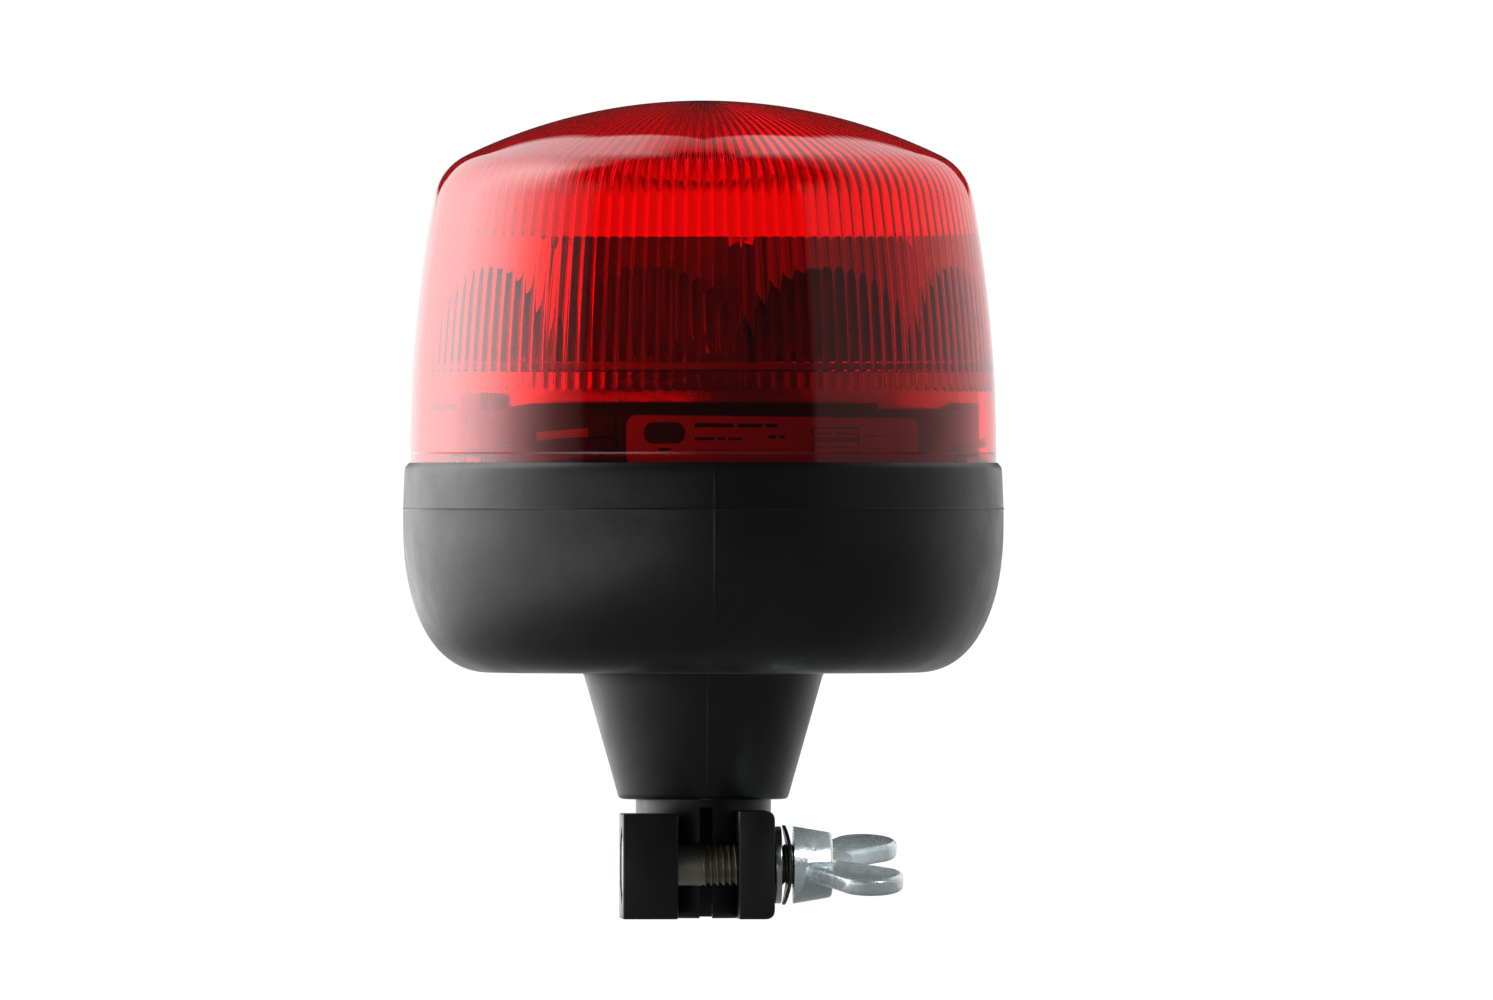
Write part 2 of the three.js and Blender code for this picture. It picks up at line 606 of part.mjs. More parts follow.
const onBoard = DRIVER_BOARD.top + GAP;
add("driver_board", driverBoard(), MATERIALS.board);
boardScrewPlaces().forEach((p, i) =>
  add(`board_screw_${i + 1}`, panScrew(3, 1.8, 1.4, 8, p.x, p.y, onBoard), MATERIALS.zinc),
);
add(
  "choke_coil",
  turned([
    [0, onBoard],
    [8, onBoard],
    [8, onBoard + 1],
    [6.5, onBoard + 1.6],
    [6.5, onBoard + 7.4],
    [8, onBoard + 8],
    [8, onBoard + 9],
    [0, onBoard + 9],
  ], SMALL_ROUND).translate(-18, 14, 0),
  MATERIALS.component,
);
add("capacitor_1", rod(5, onBoard, onBoard + 14, 16, 18, 20), MATERIALS.aluminium);
add("capacitor_2", rod(5, onBoard, onBoard + 14, 28, 10, 20), MATERIALS.aluminium);
add("controller_chip", box(-6, 6, -6, 6, onBoard, onBoard + 1.8), MATERIALS.component);
add("power_connector", box(-9, 9, -26, -19, onBoard, onBoard + 8), MATERIALS.insulator);
add(
  "led_cable",
  tube([new THREE.Vector3(-4, 12, onBoard), new THREE.Vector3(-4, 11, 96), new THREE.Vector3(0, 3, 108),
    new THREE.Vector3(0, 0, 118), new THREE.Vector3(0, 0, LED_BOARD.bottom - GAP)], 1.8, 10, 6),
  MATERIALS.blackWire,
);

/** Wire from the socket's contact up through the grommet and the board's notch to the connector. */
function supplyWire(startX, startY, lane) {
  const route = [
    [startX, startY, EARTH_TAB.top + 2 * GAP],
    [lane, -0.4, 57],
    [lane, 0, 67],
    [lane, -6, 76],
    [lane, -13, 82],
    [lane, -15, 89],
    [lane, -18.6, 90.5],
  ];
  return tube(route.map((point) => new THREE.Vector3(...point)), 1.1, 14, 6);
}

add("feed_wire", supplyWire(-0.6, -1.5, -1.6), MATERIALS.redWire);
add("earth_wire", supplyWire(6, 0, 1.6), MATERIALS.blackWire);

// ---------------------------------------------------------------- light engine

/** Finned aluminium disc under the LED board. */
function heatSink() {
  const { bottom, top, radius, bore, plate } = HEAT_SINK;
  const disc = turned([
    [bore, top - plate],
    [radius - 2.5, top - plate],
    [radius - 2.5, bottom],
    [radius, bottom],
    [radius, top],
    [bore, top],
  ]);
  const fins = Array.from({ length: 12 }, (_, i) => {
    const turn = radians(CORNER_BEARING + 15 + i * 30);
    return box(-0.9, 0.9, -radius + 2, -14, bottom + 1, top - plate + 1).rotateZ(turn);
  });
  return combine(disc, [...fins, ...sinkScrewPlaces().map((p) => rod(4, bottom, top - 1, p.x, p.y, 12))], [
    ...sinkScrewPlaces().map((p) => rod(2, bottom - 1, top + 1, p.x, p.y, 12)),
    ...reflectorScrewPlaces().map((p) => rod(1.9, bottom - 1, top + 1, p.x, p.y, 12)),
  ]);
}

function ledBoard() {
  const disc = rod(LED_BOARD.radius, LED_BOARD.bottom, LED_BOARD.top, 0, 0, ROUND);
  return combine(disc, [], [
    ...sinkScrewPlaces().map((p) => rod(3.4, 128, 132, p.x, p.y, 12)),
    ...reflectorScrewPlaces().map((p) => rod(1.9, 128, 132, p.x, p.y, 12)),
  ]);
}

function reflectorScrewPlaces() {
  return threePlaces(REFLECTOR_SCREW_RING, 0);
}

/** Distance from the reflector's centre to a flat face, and to the bottom of a dish behind it. */
const faceDistance = REFLECTOR.cornerRadius * Math.cos(radians(CELL_STEP / 2));
const dishDistance = faceDistance - DISH.mouth ** 2 / (4 * DISH.focus);

/** Paraboloid that opens outwards along one bearing, lying on the LED board. */
function dish(bearing) {
  const steps = 4;
  const outline = Array.from({ length: steps + 1 }, (_, i) => {
    const r = (DISH.mouth * i) / steps;
    return [r, dishDistance + (r * r) / (4 * DISH.focus)];
  });
  const past = faceDistance + 8;
  return turned([...outline, [DISH.mouth, past], [0, past]], SMALL_ROUND)
    .rotateX(Math.PI / 2)
    .rotateZ(radians(bearing))
    .translate(0, 0, REFLECTOR.bottom);
}

/** Eight-sided block with a half dish in each side and a notch in the top of each corner. */
function reflector() {
  const { bottom, top, cornerRadius } = REFLECTOR;
  const block = new THREE.CylinderGeometry(cornerRadius, cornerRadius, top - bottom, CELLS)
    .rotateX(Math.PI / 2)
    .rotateZ(radians(CORNER_BEARING))
    .translate(0, 0, (top + bottom) / 2);
  const cells = Array.from({ length: CELLS }, (_, i) => CORNER_BEARING + CELL_STEP * i);
  const dishes = cells.map((bearing) => dish(bearing + CELL_STEP / 2));
  const notches = cells.map((bearing) =>
    new THREE.CylinderGeometry(4.2, 4.2, 16, 4)
      .scale(1, 1, 0.7)
      .translate(0, -cornerRadius + 2, top)
      .rotateZ(radians(bearing)),
  );
  const screws = reflectorScrewPlaces();
  return combine(block, [], [
    ...dishes,
    ...notches,
    rod(REFLECTOR_CORE.radius, bottom - 1, top - REFLECTOR_CORE.ceiling),
    ...screws.map((p) => rod(1.9, bottom - 1, top + 1, p.x, p.y, 12)),
    ...screws.map((p) => rod(4, top - 3, top + 1, p.x, p.y, 16)),
  ]);
}

add("heat_sink", heatSink(), MATERIALS.aluminium);
sinkScrewPlaces().forEach((p, i) =>
  add(`sink_screw_${i + 1}`, panScrew(3, 1.7, 1.4, 16, p.x, p.y, HEAT_SINK.top + GAP), MATERIALS.zinc),
);
add("led_board", ledBoard(), MATERIALS.board);
for (let i = 0; i < CELLS; i++) {
  const bearing = CORNER_BEARING + CELL_STEP * (i + 0.5);
  const place = at(dishDistance + DISH.focus, bearing);
  const z = LED_BOARD.top + GAP;
  const package_ = combine(box(-2.5, 2.5, -2.5, 2.5, z, z + 0.9), [rod(1.9, z + 0.5, z + 1.6, 0, 0, 12)]);
  add(`led_${i + 1}`, package_.rotateZ(radians(bearing)).translate(place.x, place.y, 0), MATERIALS.led);
}
add("reflector", reflector(), MATERIALS.metallised);
reflectorScrewPlaces().forEach((p, i) =>
  add(
    `reflector_screw_${i + 1}`,
    panScrew(3.4, 2, 1.5, 34, p.x, p.y, REFLECTOR.top - 3 + GAP),
    MATERIALS.zinc,
  ),
);

// ---------------------------------------------------------------- lens

/** Centre of the shoulder arc, which touches both the cap's arc and the side's arc from inside. */
function shoulderCentre() {
  const cap = new THREE.Vector2(0, DOME_TOP - DOME_ARC);
  const side = new THREE.Vector2(LENS_RADIUS - SIDE_ARC, SIDE_ARC_Z);
  const toCap = DOME_ARC - SHOULDER_ARC;
  const toSide = SIDE_ARC - SHOULDER_ARC;
  const span = side.distanceTo(cap);
  const along = (toCap ** 2 - toSide ** 2 + span ** 2) / (2 * span);
  const off = Math.sqrt(toCap ** 2 - along ** 2);
  const direction = side.clone().sub(cap).normalize();
  const normal = new THREE.Vector2(direction.y, -direction.x);
  return cap.addScaledVector(direction, along).addScaledVector(normal, off);
}

/** Half outline of the lens from its top to its bottom edge, set in by a wall thickness. */
function lensOutline(inset) {
  const shoulder = shoulderCentre();
  const capZ = DOME_TOP - DOME_ARC;
  const sideX = LENS_RADIUS - SIDE_ARC;
  const capEnd = Math.atan2(shoulder.y - capZ, shoulder.x);
  const sideStart = Math.atan2(shoulder.y - SIDE_ARC_Z, shoulder.x - sideX);
  const arc = (x, z, radius, from, to, steps) =>
    Array.from({ length: steps + 1 }, (_, i) => {
      const angle = from + ((to - from) * i) / steps;
      return [x + radius * Math.cos(angle), z + radius * Math.sin(angle)];
    });
  const cap = arc(0, capZ, DOME_ARC - inset, Math.PI / 2, capEnd, 4);
  cap[0][0] = 0;
  return [
    ...cap,
    ...arc(shoulder.x, shoulder.y, SHOULDER_ARC - inset, capEnd, sideStart, 4).slice(1),
    ...arc(sideX, SIDE_ARC_Z, SIDE_ARC - inset, sideStart, 0, 4).slice(1),
    [LENS_RADIUS - inset, LENS_BOTTOM],
  ];
}

function lensDome() {
  const shell = turned([...lensOutline(0), ...lensOutline(LENS_WALL).reverse()], FINE_ROUND);
  const { from, sweep, bottom, top, bore } = LENS_LUG;
  const lugs = BAYONETS.map((turn) => sector(bore, LENS_RADIUS - 1, bottom, top, from + turn, sweep, 0, 3));
  return combine(shell, lugs);
}

add("lens_dome", lensDome(), MATERIALS.lens);
add(
  "lens_seal",
  turned([
    [COLLAR_RADIUS + 0.4, FLANGE.top + GAP],
    [LENS_RADIUS - GAP, FLANGE.top + 2 * GAP],
    [LENS_RADIUS - GAP, LENS_BOTTOM - GAP],
    [COLLAR_RADIUS + 0.4, LENS_BOTTOM - GAP],
  ]),
  MATERIALS.seal,
);

export default beacon;
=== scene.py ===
import json
import math

import bmesh
import bpy
from mathutils import Matrix, Vector


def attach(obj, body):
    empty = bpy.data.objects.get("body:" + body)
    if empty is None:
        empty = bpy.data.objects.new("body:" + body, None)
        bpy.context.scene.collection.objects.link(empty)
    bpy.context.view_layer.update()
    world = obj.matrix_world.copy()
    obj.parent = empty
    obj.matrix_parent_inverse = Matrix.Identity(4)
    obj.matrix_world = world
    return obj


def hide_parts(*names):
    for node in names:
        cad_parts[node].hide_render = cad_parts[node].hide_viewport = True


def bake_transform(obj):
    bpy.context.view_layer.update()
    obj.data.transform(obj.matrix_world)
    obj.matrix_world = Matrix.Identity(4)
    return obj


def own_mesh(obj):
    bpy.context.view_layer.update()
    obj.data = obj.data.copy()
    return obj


# Looks of the pole-mounted LED beacon. Dimensions are millimetres in the part's frame, and become metres
# where a mesh is made. A bearing is an angle in degrees round +Z, 0 at the front (-Y), growing towards +X.

MM = 0.001

# ---------------------------------------------------------------- dimensions, the CAD's own unless noted

SLEEVE_RADIUS = 16.0
SLEEVE_BORE = 12.3
SLEEVE_TOP = 42.0
SOCKET_DEPTH = 38.0
SLIT_WIDTH = 3.0
SLIT_TOP = 26.2
LUG_FRONT = -32.0
LUG_BACK = -8.0
LEFT_LUG = (-20.2, -7.2, 24.8)  # from x, to x, height
RIGHT_LUG = (7.2, 15.6, 25.5)

BOLT_Y = -22.4
BOLT_Z = 12.7
BOLT_END = 30.0
BOLT_RADIUS = 4.9
BOLT_HOLE = 5.3
CABLE_HOLE = 8.4
THREAD_DEPTH = 0.75
THREAD_PITCH = 1.5
THREAD_START = -1.6
HEX_ACROSS_FLATS = 16.0  # with a corner up, where the CAD's hexagon has a flat up
HEX_HEIGHT = 6.2

WASHER_X = 15.9
SPRING_WASHER_X = 17.6
NUT_X = 20.2
NUT_HUB = (9.2, 9.2, 7.6)  # length, base radius, end radius
WING_TIP = (17.4, 17.3, 7.9)  # along the bolt, across it, radius
WING_THICKNESS = 4.2
WING_TILT = 12.0

STEM_BOTTOM = 28.0
STEM_CONE = ((20.25, 29.2), (28.15, 57.0))  # radius and height at the foot and at the top
BOWL_FLOOR = 57.9
BOWL_RADIUS = 71.0
BOWL_FLAT = 50.0
BOWL_CORNER_TOP = 94.0
BOWL_POWER = 2.3
BOWL_WALL = 3.5
MOULD_LINE = 96.7
SEAM_SPREAD = 0.4  # degrees each side of a parting line

COLLAR_RADIUS = 65.2
COLLAR_WALL = 2.2
COLLAR_TOP = 119.9  # low edge; the CAD has one level edge at 120.9
COLLAR_HIGH = 121.4
LABEL_SPAN = (-18.1, 47.1)
LABEL_Z = (106.0, 118.6)
LABEL_DROP = 0.8  # how much lower its right end is cut
DOME_TOP = 193.2
LENS_RADIUS = 69.3
LENS_WALL = 1.8
DOME_ARC = 128.0
SIDE_ARC = 330.0
SIDE_ARC_Z = 110.0
SHOULDER_ARC = 14.0
LENS_BOTTOM = 99.8
LUG_INNER = 66.1
BAYONETS = (0, 120, 240)
OPPOSITE = (0, 180)  # the two windows and the two locating tabs

# places round the collar: from bearing, sweep, low, high, rise along the sweep
WINDOW = (-39.2, 12.7, 112.4, 114.8, 1.0)
BEAD_ABOVE = (-43.5, 21.5, 116.9, 117.15, 0.9)
BEAD_BESIDE = (-22.1, 0.25, 113.6, 118.0, 0)
RIB = (-58.2, 37, 110.2, 111.0, 2.6)
STOP = (-59.7, 2, 106.8, 111.0, 0)
TAB = (-62.2, 7.4, 118, 124, 0)
LENS_LUG = (-62, 10, 107.2, 109.3, 0)  # the CAD's starts at -56.2; here it cuts into the stop
RAISED_EDGE = (-54, 16, 90)  # from bearing, ramp, sweep

CORNER_BEARING = 6.4
REFLECTOR = (131.1, 160.4, 58.9)  # bottom, top, radius to the corners
DISH_FOCUS = 6.0
DISH_MOUTH = 22.2

FLUTES = 130
FLUTE_STEPS = 8
FLUTE_HEIGHT = 0.46
FLUTE_END = 124.3

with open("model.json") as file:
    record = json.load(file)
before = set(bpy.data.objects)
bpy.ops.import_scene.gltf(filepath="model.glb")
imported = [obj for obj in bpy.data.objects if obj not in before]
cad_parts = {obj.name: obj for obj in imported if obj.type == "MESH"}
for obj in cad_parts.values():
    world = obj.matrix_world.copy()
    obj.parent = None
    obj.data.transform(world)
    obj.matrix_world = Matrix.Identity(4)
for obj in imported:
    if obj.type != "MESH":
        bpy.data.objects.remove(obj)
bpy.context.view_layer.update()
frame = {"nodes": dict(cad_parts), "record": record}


# ---------------------------------------------------------------- mesh helpers

def at(radius, bearing, z=0.0):
    """Point at a radius and bearing."""
    angle = math.radians(bearing)
    return Vector((radius * math.sin(angle), -radius * math.cos(angle), z))


def make(name, verts, faces, sharp=35.0):
    """Object from points in millimetres, closed and facing out, with edges over the angle kept sharp."""
    mesh = bpy.data.meshes.new(name)
    mesh.from_pydata([Vector(v) * MM for v in verts], [], faces)
    obj = bpy.data.objects.new(name, mesh)
    bpy.context.scene.collection.objects.link(obj)
    finish_mesh(obj, sharp)
    return obj


def finish_mesh(obj, sharp=35.0):
    """Faces out, smooth shading, and sharp edges over the angle."""
    b = bmesh.new()
    b.from_mesh(obj.data)
    bmesh.ops.remove_doubles(b, verts=b.verts, dist=1e-7)
    bmesh.ops.recalc_face_normals(b, faces=b.faces)
    limit = math.radians(sharp)
    for face in b.faces:
        face.smooth = True
    for edge in b.edges:
        edge.smooth = not (edge.is_manifold and edge.calc_face_angle(0.0) > limit)
    b.to_mesh(obj.data)
    b.free()


def rounded(corners, radius, steps=4):
    """Closed outline of (a, b) points with each corner rounded; a corner may carry its own radius."""
    out = []
    count = len(corners)
    for i, corner in enumerate(corners):
        here = Vector(corner[:2])
        r = corner[2] if len(corner) > 2 else radius
        before = Vector(corners[i - 1][:2]) - here
        after = Vector(corners[(i + 1) % count][:2]) - here
        half = before.angle(after) / 2
        cut = min(r / math.tan(half), 0.49 * before.length, 0.49 * after.length) if half < 1.56 else 0.0
        if r <= 0 or cut <= 0:
            out.append(tuple(here))
            continue
        start, end = here + before.normalized() * cut, here + after.normalized() * cut
        for k in range(steps + 1):
            t = k / steps
            out.append(tuple(start * (1 - t) ** 2 + here * 2 * t * (1 - t) + end * t ** 2))
    return out


def lathe(name, outline, segments=128, sharp=35.0, bearings=None, shift=None):
    """Turns a closed outline of (radius, z) points round +Z. shift(index, bearing) moves a point outwards."""
    bearings = bearings or [360.0 * i / segments for i in range(segments)]
    segments = len(bearings)
    verts, rings = [], []
    for k, (r, z) in enumerate(outline):
        if r <= 1e-6:
            rings.append([len(verts)] * segments)
            verts.append((0, 0, z))
            continue
        rings.append(list(range(len(verts), len(verts) + segments)))
        for bearing in bearings:
            out = shift(k, bearing) if shift else 0.0
            verts.append(at(r + out, bearing, z))
    faces = []
    for k, ring in enumerate(rings):
        after = rings[(k + 1) % len(rings)]
        if outline[k][0] <= 1e-6 and outline[(k + 1) % len(rings)][0] <= 1e-6:
            continue
        for i in range(segments):
            j = (i + 1) % segments
            corners = [ring[i], ring[j], after[j], after[i]]
            faces.append(list(dict.fromkeys(corners)))
    return make(name, verts, faces, sharp)


def swept(name, rows, sharp=35.0):
    """Closed body through rows of as many points each, with its first and last row capped."""
    count = len(rows[0])
    verts = [point for row in rows for point in row]
    faces = []
    for start in range(0, len(verts) - count, count):
        for i in range(count):
            j = (i + 1) % count
            faces.append([start + i, start + j, start + count + j, start + count + i])
    faces += [list(range(count)), list(range(len(verts) - count, len(verts)))]
    return make(name, verts, faces, sharp)


def prism(name, outline, low, high, axis="Z"):
    """Outline extruded between two heights along Z, X or Y; the outline's pair keeps right-handed order."""
    point = {
        "Z": lambda a, b, c: (a, b, c),
        "X": lambda a, b, c: (c, a, b),
        "Y": lambda a, b, c: (b, c, a),
    }[axis]
    return swept(name, [[point(a, b, c) for a, b in outline] for c in (low, high)])


def circle(radius, steps=48, a=0.0, b=0.0, turn=0.0):
    angles = [turn + 2 * math.pi * i / steps for i in range(steps)]
    return [(a + radius * math.cos(angle), b + radius * math.sin(angle)) for angle in angles]


def sector(name, inner, outer, low, high, start, sweep, lift=0.0, steps=24, edge=0.25):
    """Ring sector with softened edges; lift raises its far end, as on a ramp."""
    section = rounded([(inner, low), (outer, low), (outer, high), (inner, high)], edge, 2)
    shares = [k / steps for k in range(steps + 1)]
    return swept(name, [[at(r, start + sweep * t, z + lift * t) for r, z in section] for t in shares])


def block(name, x, y, z, bevel=0.4):
    """Box between the given pairs, with all its edges rounded."""
    corners = [(a, b, c) for a in x for b in y for c in z]
    faces = [[0, 1, 3, 2], [4, 6, 7, 5], [0, 4, 5, 1], [2, 3, 7, 6], [0, 2, 6, 4], [1, 5, 7, 3]]
    obj = make(name, corners, faces)
    if bevel:
        modify(obj, "BEVEL", width=bevel * MM, segments=3, limit_method="ANGLE")
    return obj


def modify(obj, kind, **settings):
    """Adds a modifier and applies it."""
    modifier = obj.modifiers.new(kind.lower(), kind)
    for key, value in settings.items():
        setattr(modifier, key, value)
    evaluated = obj.evaluated_get(bpy.context.evaluated_depsgraph_get())
    mesh = bpy.data.meshes.new_from_object(evaluated)
    obj.modifiers.clear()
    old, obj.data = obj.data, mesh
    bpy.data.meshes.remove(old)
    mesh.name = obj.name


def combine(base, joined=(), cut=(), sharp=35.0):
    """Base object with others joined on, then others cut away."""
    for operation, others in (("UNION", joined), ("DIFFERENCE", cut)):
        for other in others:
            modify(base, "BOOLEAN", operation=operation, object=other, solver="MANIFOLD")
            bpy.data.objects.remove(other)
    finish_mesh(base, sharp)
    return base


def merge(name, objects, sharp=35.0):
    """One object that holds the separate shells of several."""
    b = bmesh.new()
    for obj in objects:
        b.from_mesh(obj.data)
        bpy.data.objects.remove(obj)
    mesh = bpy.data.meshes.new(name)
    b.to_mesh(mesh)
    b.free()
    joined = bpy.data.objects.new(name, mesh)
    bpy.context.scene.collection.objects.link(joined)
    finish_mesh(joined, sharp)
    return joined


def place(obj, body, slot, surface, *nodes):
    """Gives a piece its material and its body, and hides the CAD nodes that it stands for; the slot is not
    used.
    """
    obj.data.materials.clear()
    obj.data.materials.append(surface)
    if body:
        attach(obj, body)
    if nodes:
        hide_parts(*nodes)
    return obj


# ---------------------------------------------------------------- materials

class Nodes:
    """A node tree and short ways to add to it."""

    def __init__(self, tree):
        self.tree = tree
        self.link = tree.links.new

    def node(self, kind, **values):
        made = self.tree.nodes.new("ShaderNode" + kind)
        for key, value in values.items():
            setattr(made, key, value)
        return made

    def feed(self, value, socket):
        if isinstance(value, bpy.types.NodeSocket):
            self.link(value, socket)
        else:
            socket.default_value = value

    def span(self, source, low, high, to_low=0.0, to_high=1.0, smooth=False):
        """Maps source from low..high to to_low..to_high, clamped."""
        made = self.node("MapRange", clamp=True, interpolation_type="SMOOTHSTEP" if smooth else "LINEAR")
        for key, value in (("From Min", low), ("From Max", high), ("To Min", to_low), ("To Max", to_high)):
            made.inputs[key].default_value = value
        self.link(source, made.inputs["Value"])
        return made.outputs["Result"]

    def math(self, operation, a, b=0.0):
        made = self.node("Math", operation=operation)
        for socket, value in zip(made.inputs, (a, b)):
            self.feed(value, socket)
        return made.outputs["Value"]


class Surface(Nodes):
    """A Principled material and the patterns that feed it."""

    def __init__(self, name, color, roughness, metallic=0.0, **sockets):
        self.material = bpy.data.materials.new(name)
        self.material.use_nodes = True
        super().__init__(self.material.node_tree)
        self.shader = next(n for n in self.tree.nodes if n.type == "BSDF_PRINCIPLED")
        self.shader.inputs["Base Color"].default_value = (*color, 1)
        self.shader.inputs["Roughness"].default_value = roughness
        self.shader.inputs["Metallic"].default_value = metallic
        for key, value in sockets.items():
            self.shader.inputs[key.replace("_", " ")].default_value = value
        self.color = color
        self.place = self.node("TexCoord").outputs["Object"]

    def stretched(self, scale):
        mapping = self.node("Mapping")
        mapping.inputs["Scale"].default_value = scale
        self.link(self.place, mapping.inputs["Vector"])
        return mapping.outputs["Vector"]

    def noise(self, per_metre, detail=4.0, scale=None, distortion=0.0):
        made = self.node("TexNoise")
        made.inputs["Scale"].default_value = per_metre
        made.inputs["Detail"].default_value = detail
        made.inputs["Distortion"].default_value = distortion
        self.link(self.stretched(scale) if scale else self.place, made.inputs["Vector"])
        return made.outputs["Fac"]

    def cells(self, per_metre, feature="F1"):
        made = self.node("TexVoronoi", feature=feature)
        made.inputs["Scale"].default_value = per_metre
        self.link(self.place, made.inputs["Vector"])
        return made.outputs["Distance"]

    def mix(self, factor, a, b):
        """Colour between a and b."""
        made = self.node("Mix", data_type="RGBA")
        ends = [s for s in made.inputs if s.type == "RGBA"]
        self.feed(factor, made.inputs["Factor"])
        self.feed((*a, 1) if isinstance(a, tuple) else a, ends[0])
        self.feed((*b, 1) if isinstance(b, tuple) else b, ends[1])
        return next(s for s in made.outputs if s.type == "RGBA")

    def set(self, socket, value):
        self.feed(value, self.shader.inputs[socket])
        return self

    def bump(self, height, depth_mm, strength=1.0):
        """Bump from a height in 0..1, stacked on the bump already there."""
        made = self.node("Bump")
        made.inputs["Strength"].default_value = strength
        made.inputs["Distance"].default_value = depth_mm * MM
        self.link(height, made.inputs["Height"])
        normal = self.shader.inputs["Normal"]
        if normal.links:
            self.link(normal.links[0].from_socket, made.inputs["Normal"])
        self.link(made.outputs["Normal"], normal)
        return self


def red_lens():
    s = Surface("red_lens", (0.86, 0.004, 0.012), 0.015, Transmission_Weight=1.0, IOR=1.58)
    dust = s.span(s.cells(900), 0.0, 0.035, 1.0, 0.0)
    haze = s.span(s.noise(60, 6), 0.45, 0.75, 0.01, 0.045)
    s.set("Roughness", s.math("MAXIMUM", haze, s.math("MULTIPLY", dust, 0.3)))
    s.bump(s.noise(35, 2), 0.012)
    return s.material


def boot_rubber():
    s = Surface("boot_rubber", (0.0105, 0.0107, 0.012), 0.36, Sheen_Weight=0.05, Sheen_Roughness=0.4,
                Specular_IOR_Level=0.42)
    clouds = s.span(s.noise(26, 7, distortion=1.2), 0.42, 0.68, smooth=True)
    streaks = s.span(s.noise(60, 5, scale=(1, 1, 0.25)), 0.45, 0.8)
    bloom = s.math("MULTIPLY", clouds, s.math("ADD", s.math("MULTIPLY", streaks, 0.5), 0.5))
    specks = s.span(s.cells(420), 0.0, 0.05, 1.0, 0.0)
    color = s.mix(bloom, s.color, (0.017, 0.019, 0.022))
    s.set("Base Color", s.mix(s.math("MULTIPLY", specks, 0.25), color, (0.12, 0.12, 0.115)))
    s.set("Roughness", s.span(s.noise(90, 5), 0.3, 0.7, 0.31, 0.42))
    s.bump(s.noise(1400, 4), 0.02)
    s.bump(s.noise(140, 5), 0.10)
    return s.material


def moulded(name, color, roughness, grain=900, wear=(0.10, 0.10, 0.10)):
    """Satin moulded plastic with a fine grain and slight rubbing."""
    s = Surface(name, color, roughness)
    rubbed = s.span(s.noise(70, 6, distortion=0.8), 0.62, 0.8)
    s.set("Base Color", s.mix(s.math("MULTIPLY", rubbed, 0.35), color, wear))
    s.set("Roughness", s.span(s.noise(120, 5), 0.3, 0.7, roughness - 0.06, roughness + 0.1))
    s.bump(s.noise(grain, 3), 0.015)
    return s.material


def zinc(name="zinc_plate", color=(0.66, 0.72, 0.745), roughness=0.2, cast=0.0, metallic=1.0):
    """Bright zinc: bluish patches, fine pits, and a cast skin where asked."""
    s = Surface(name, color, roughness, metallic)
    patches = s.span(s.noise(160, 5, distortion=0.6), 0.35, 0.7)
    s.set("Base Color", s.mix(patches, color, tuple(c * (0.9 if cast else 0.82) for c in color)))
    s.set("Roughness", s.span(s.noise(420, 6), 0.3, 0.75, roughness - 0.06, roughness + 0.14))
    s.bump(s.noise(2200, 3), 0.008)
    if cast:
        s.bump(s.noise(650, 4, distortion=0.5), cast)
    return s.material


def metal(name, color, roughness, grain=(1, 1, 1)):
    s = Surface(name, color, roughness, 1.0)
    s.set("Roughness", s.span(s.noise(500, 5, scale=grain), 0.3, 0.7, roughness - 0.07, roughness + 0.1))
    s.set("Base Color", s.mix(s.span(s.noise(90, 4), 0.4, 0.7), color, tuple(c * 0.85 for c in color)))
    s.bump(s.noise(300, 3, scale=grain), 0.004)
    return s.material


def metallised():
    s = Surface("metallised", (0.80, 0.81, 0.83), 0.07, 1.0)
    s.set("Roughness", s.span(s.noise(80, 5), 0.35, 0.75, 0.05, 0.14))
    s.bump(s.noise(55, 3), 0.03)
    return s.material


def board_white():
    s = Surface("solder_mask", (0.70, 0.69, 0.64), 0.42)
    tracks = s.span(s.cells(180, "SMOOTH_F1"), 0.25, 0.32)
    s.set("Base Color", s.mix(s.math("MULTIPLY", tracks, 0.25), s.color, (0.55, 0.53, 0.46)))
    s.set("Roughness", s.span(s.noise(300, 3), 0.3, 0.7, 0.36, 0.5))
    s.bump(tracks, 0.03)
    return s.material


def label_paper():
    s = Surface("label_film", (0.90, 0.90, 0.87), 0.4)
    s.set("Base Color", s.mix(s.span(s.noise(110, 5), 0.5, 0.8), s.color, (0.78, 0.76, 0.72)))
    s.set("Roughness", s.span(s.noise(200, 4), 0.3, 0.7, 0.34, 0.5))
    s.bump(s.noise(260, 3), 0.01)
    return s.material


def led_face():
    s = Surface("led_face", (0.72, 0.55, 0.10), 0.22, Coat_Weight=0.8, Coat_Roughness=0.05)
    s.set("Base Color", s.mix(s.span(s.noise(900, 3), 0.4, 0.65), s.color, (0.80, 0.70, 0.30)))
    s.bump(s.noise(1500, 2), 0.01)
    return s.material


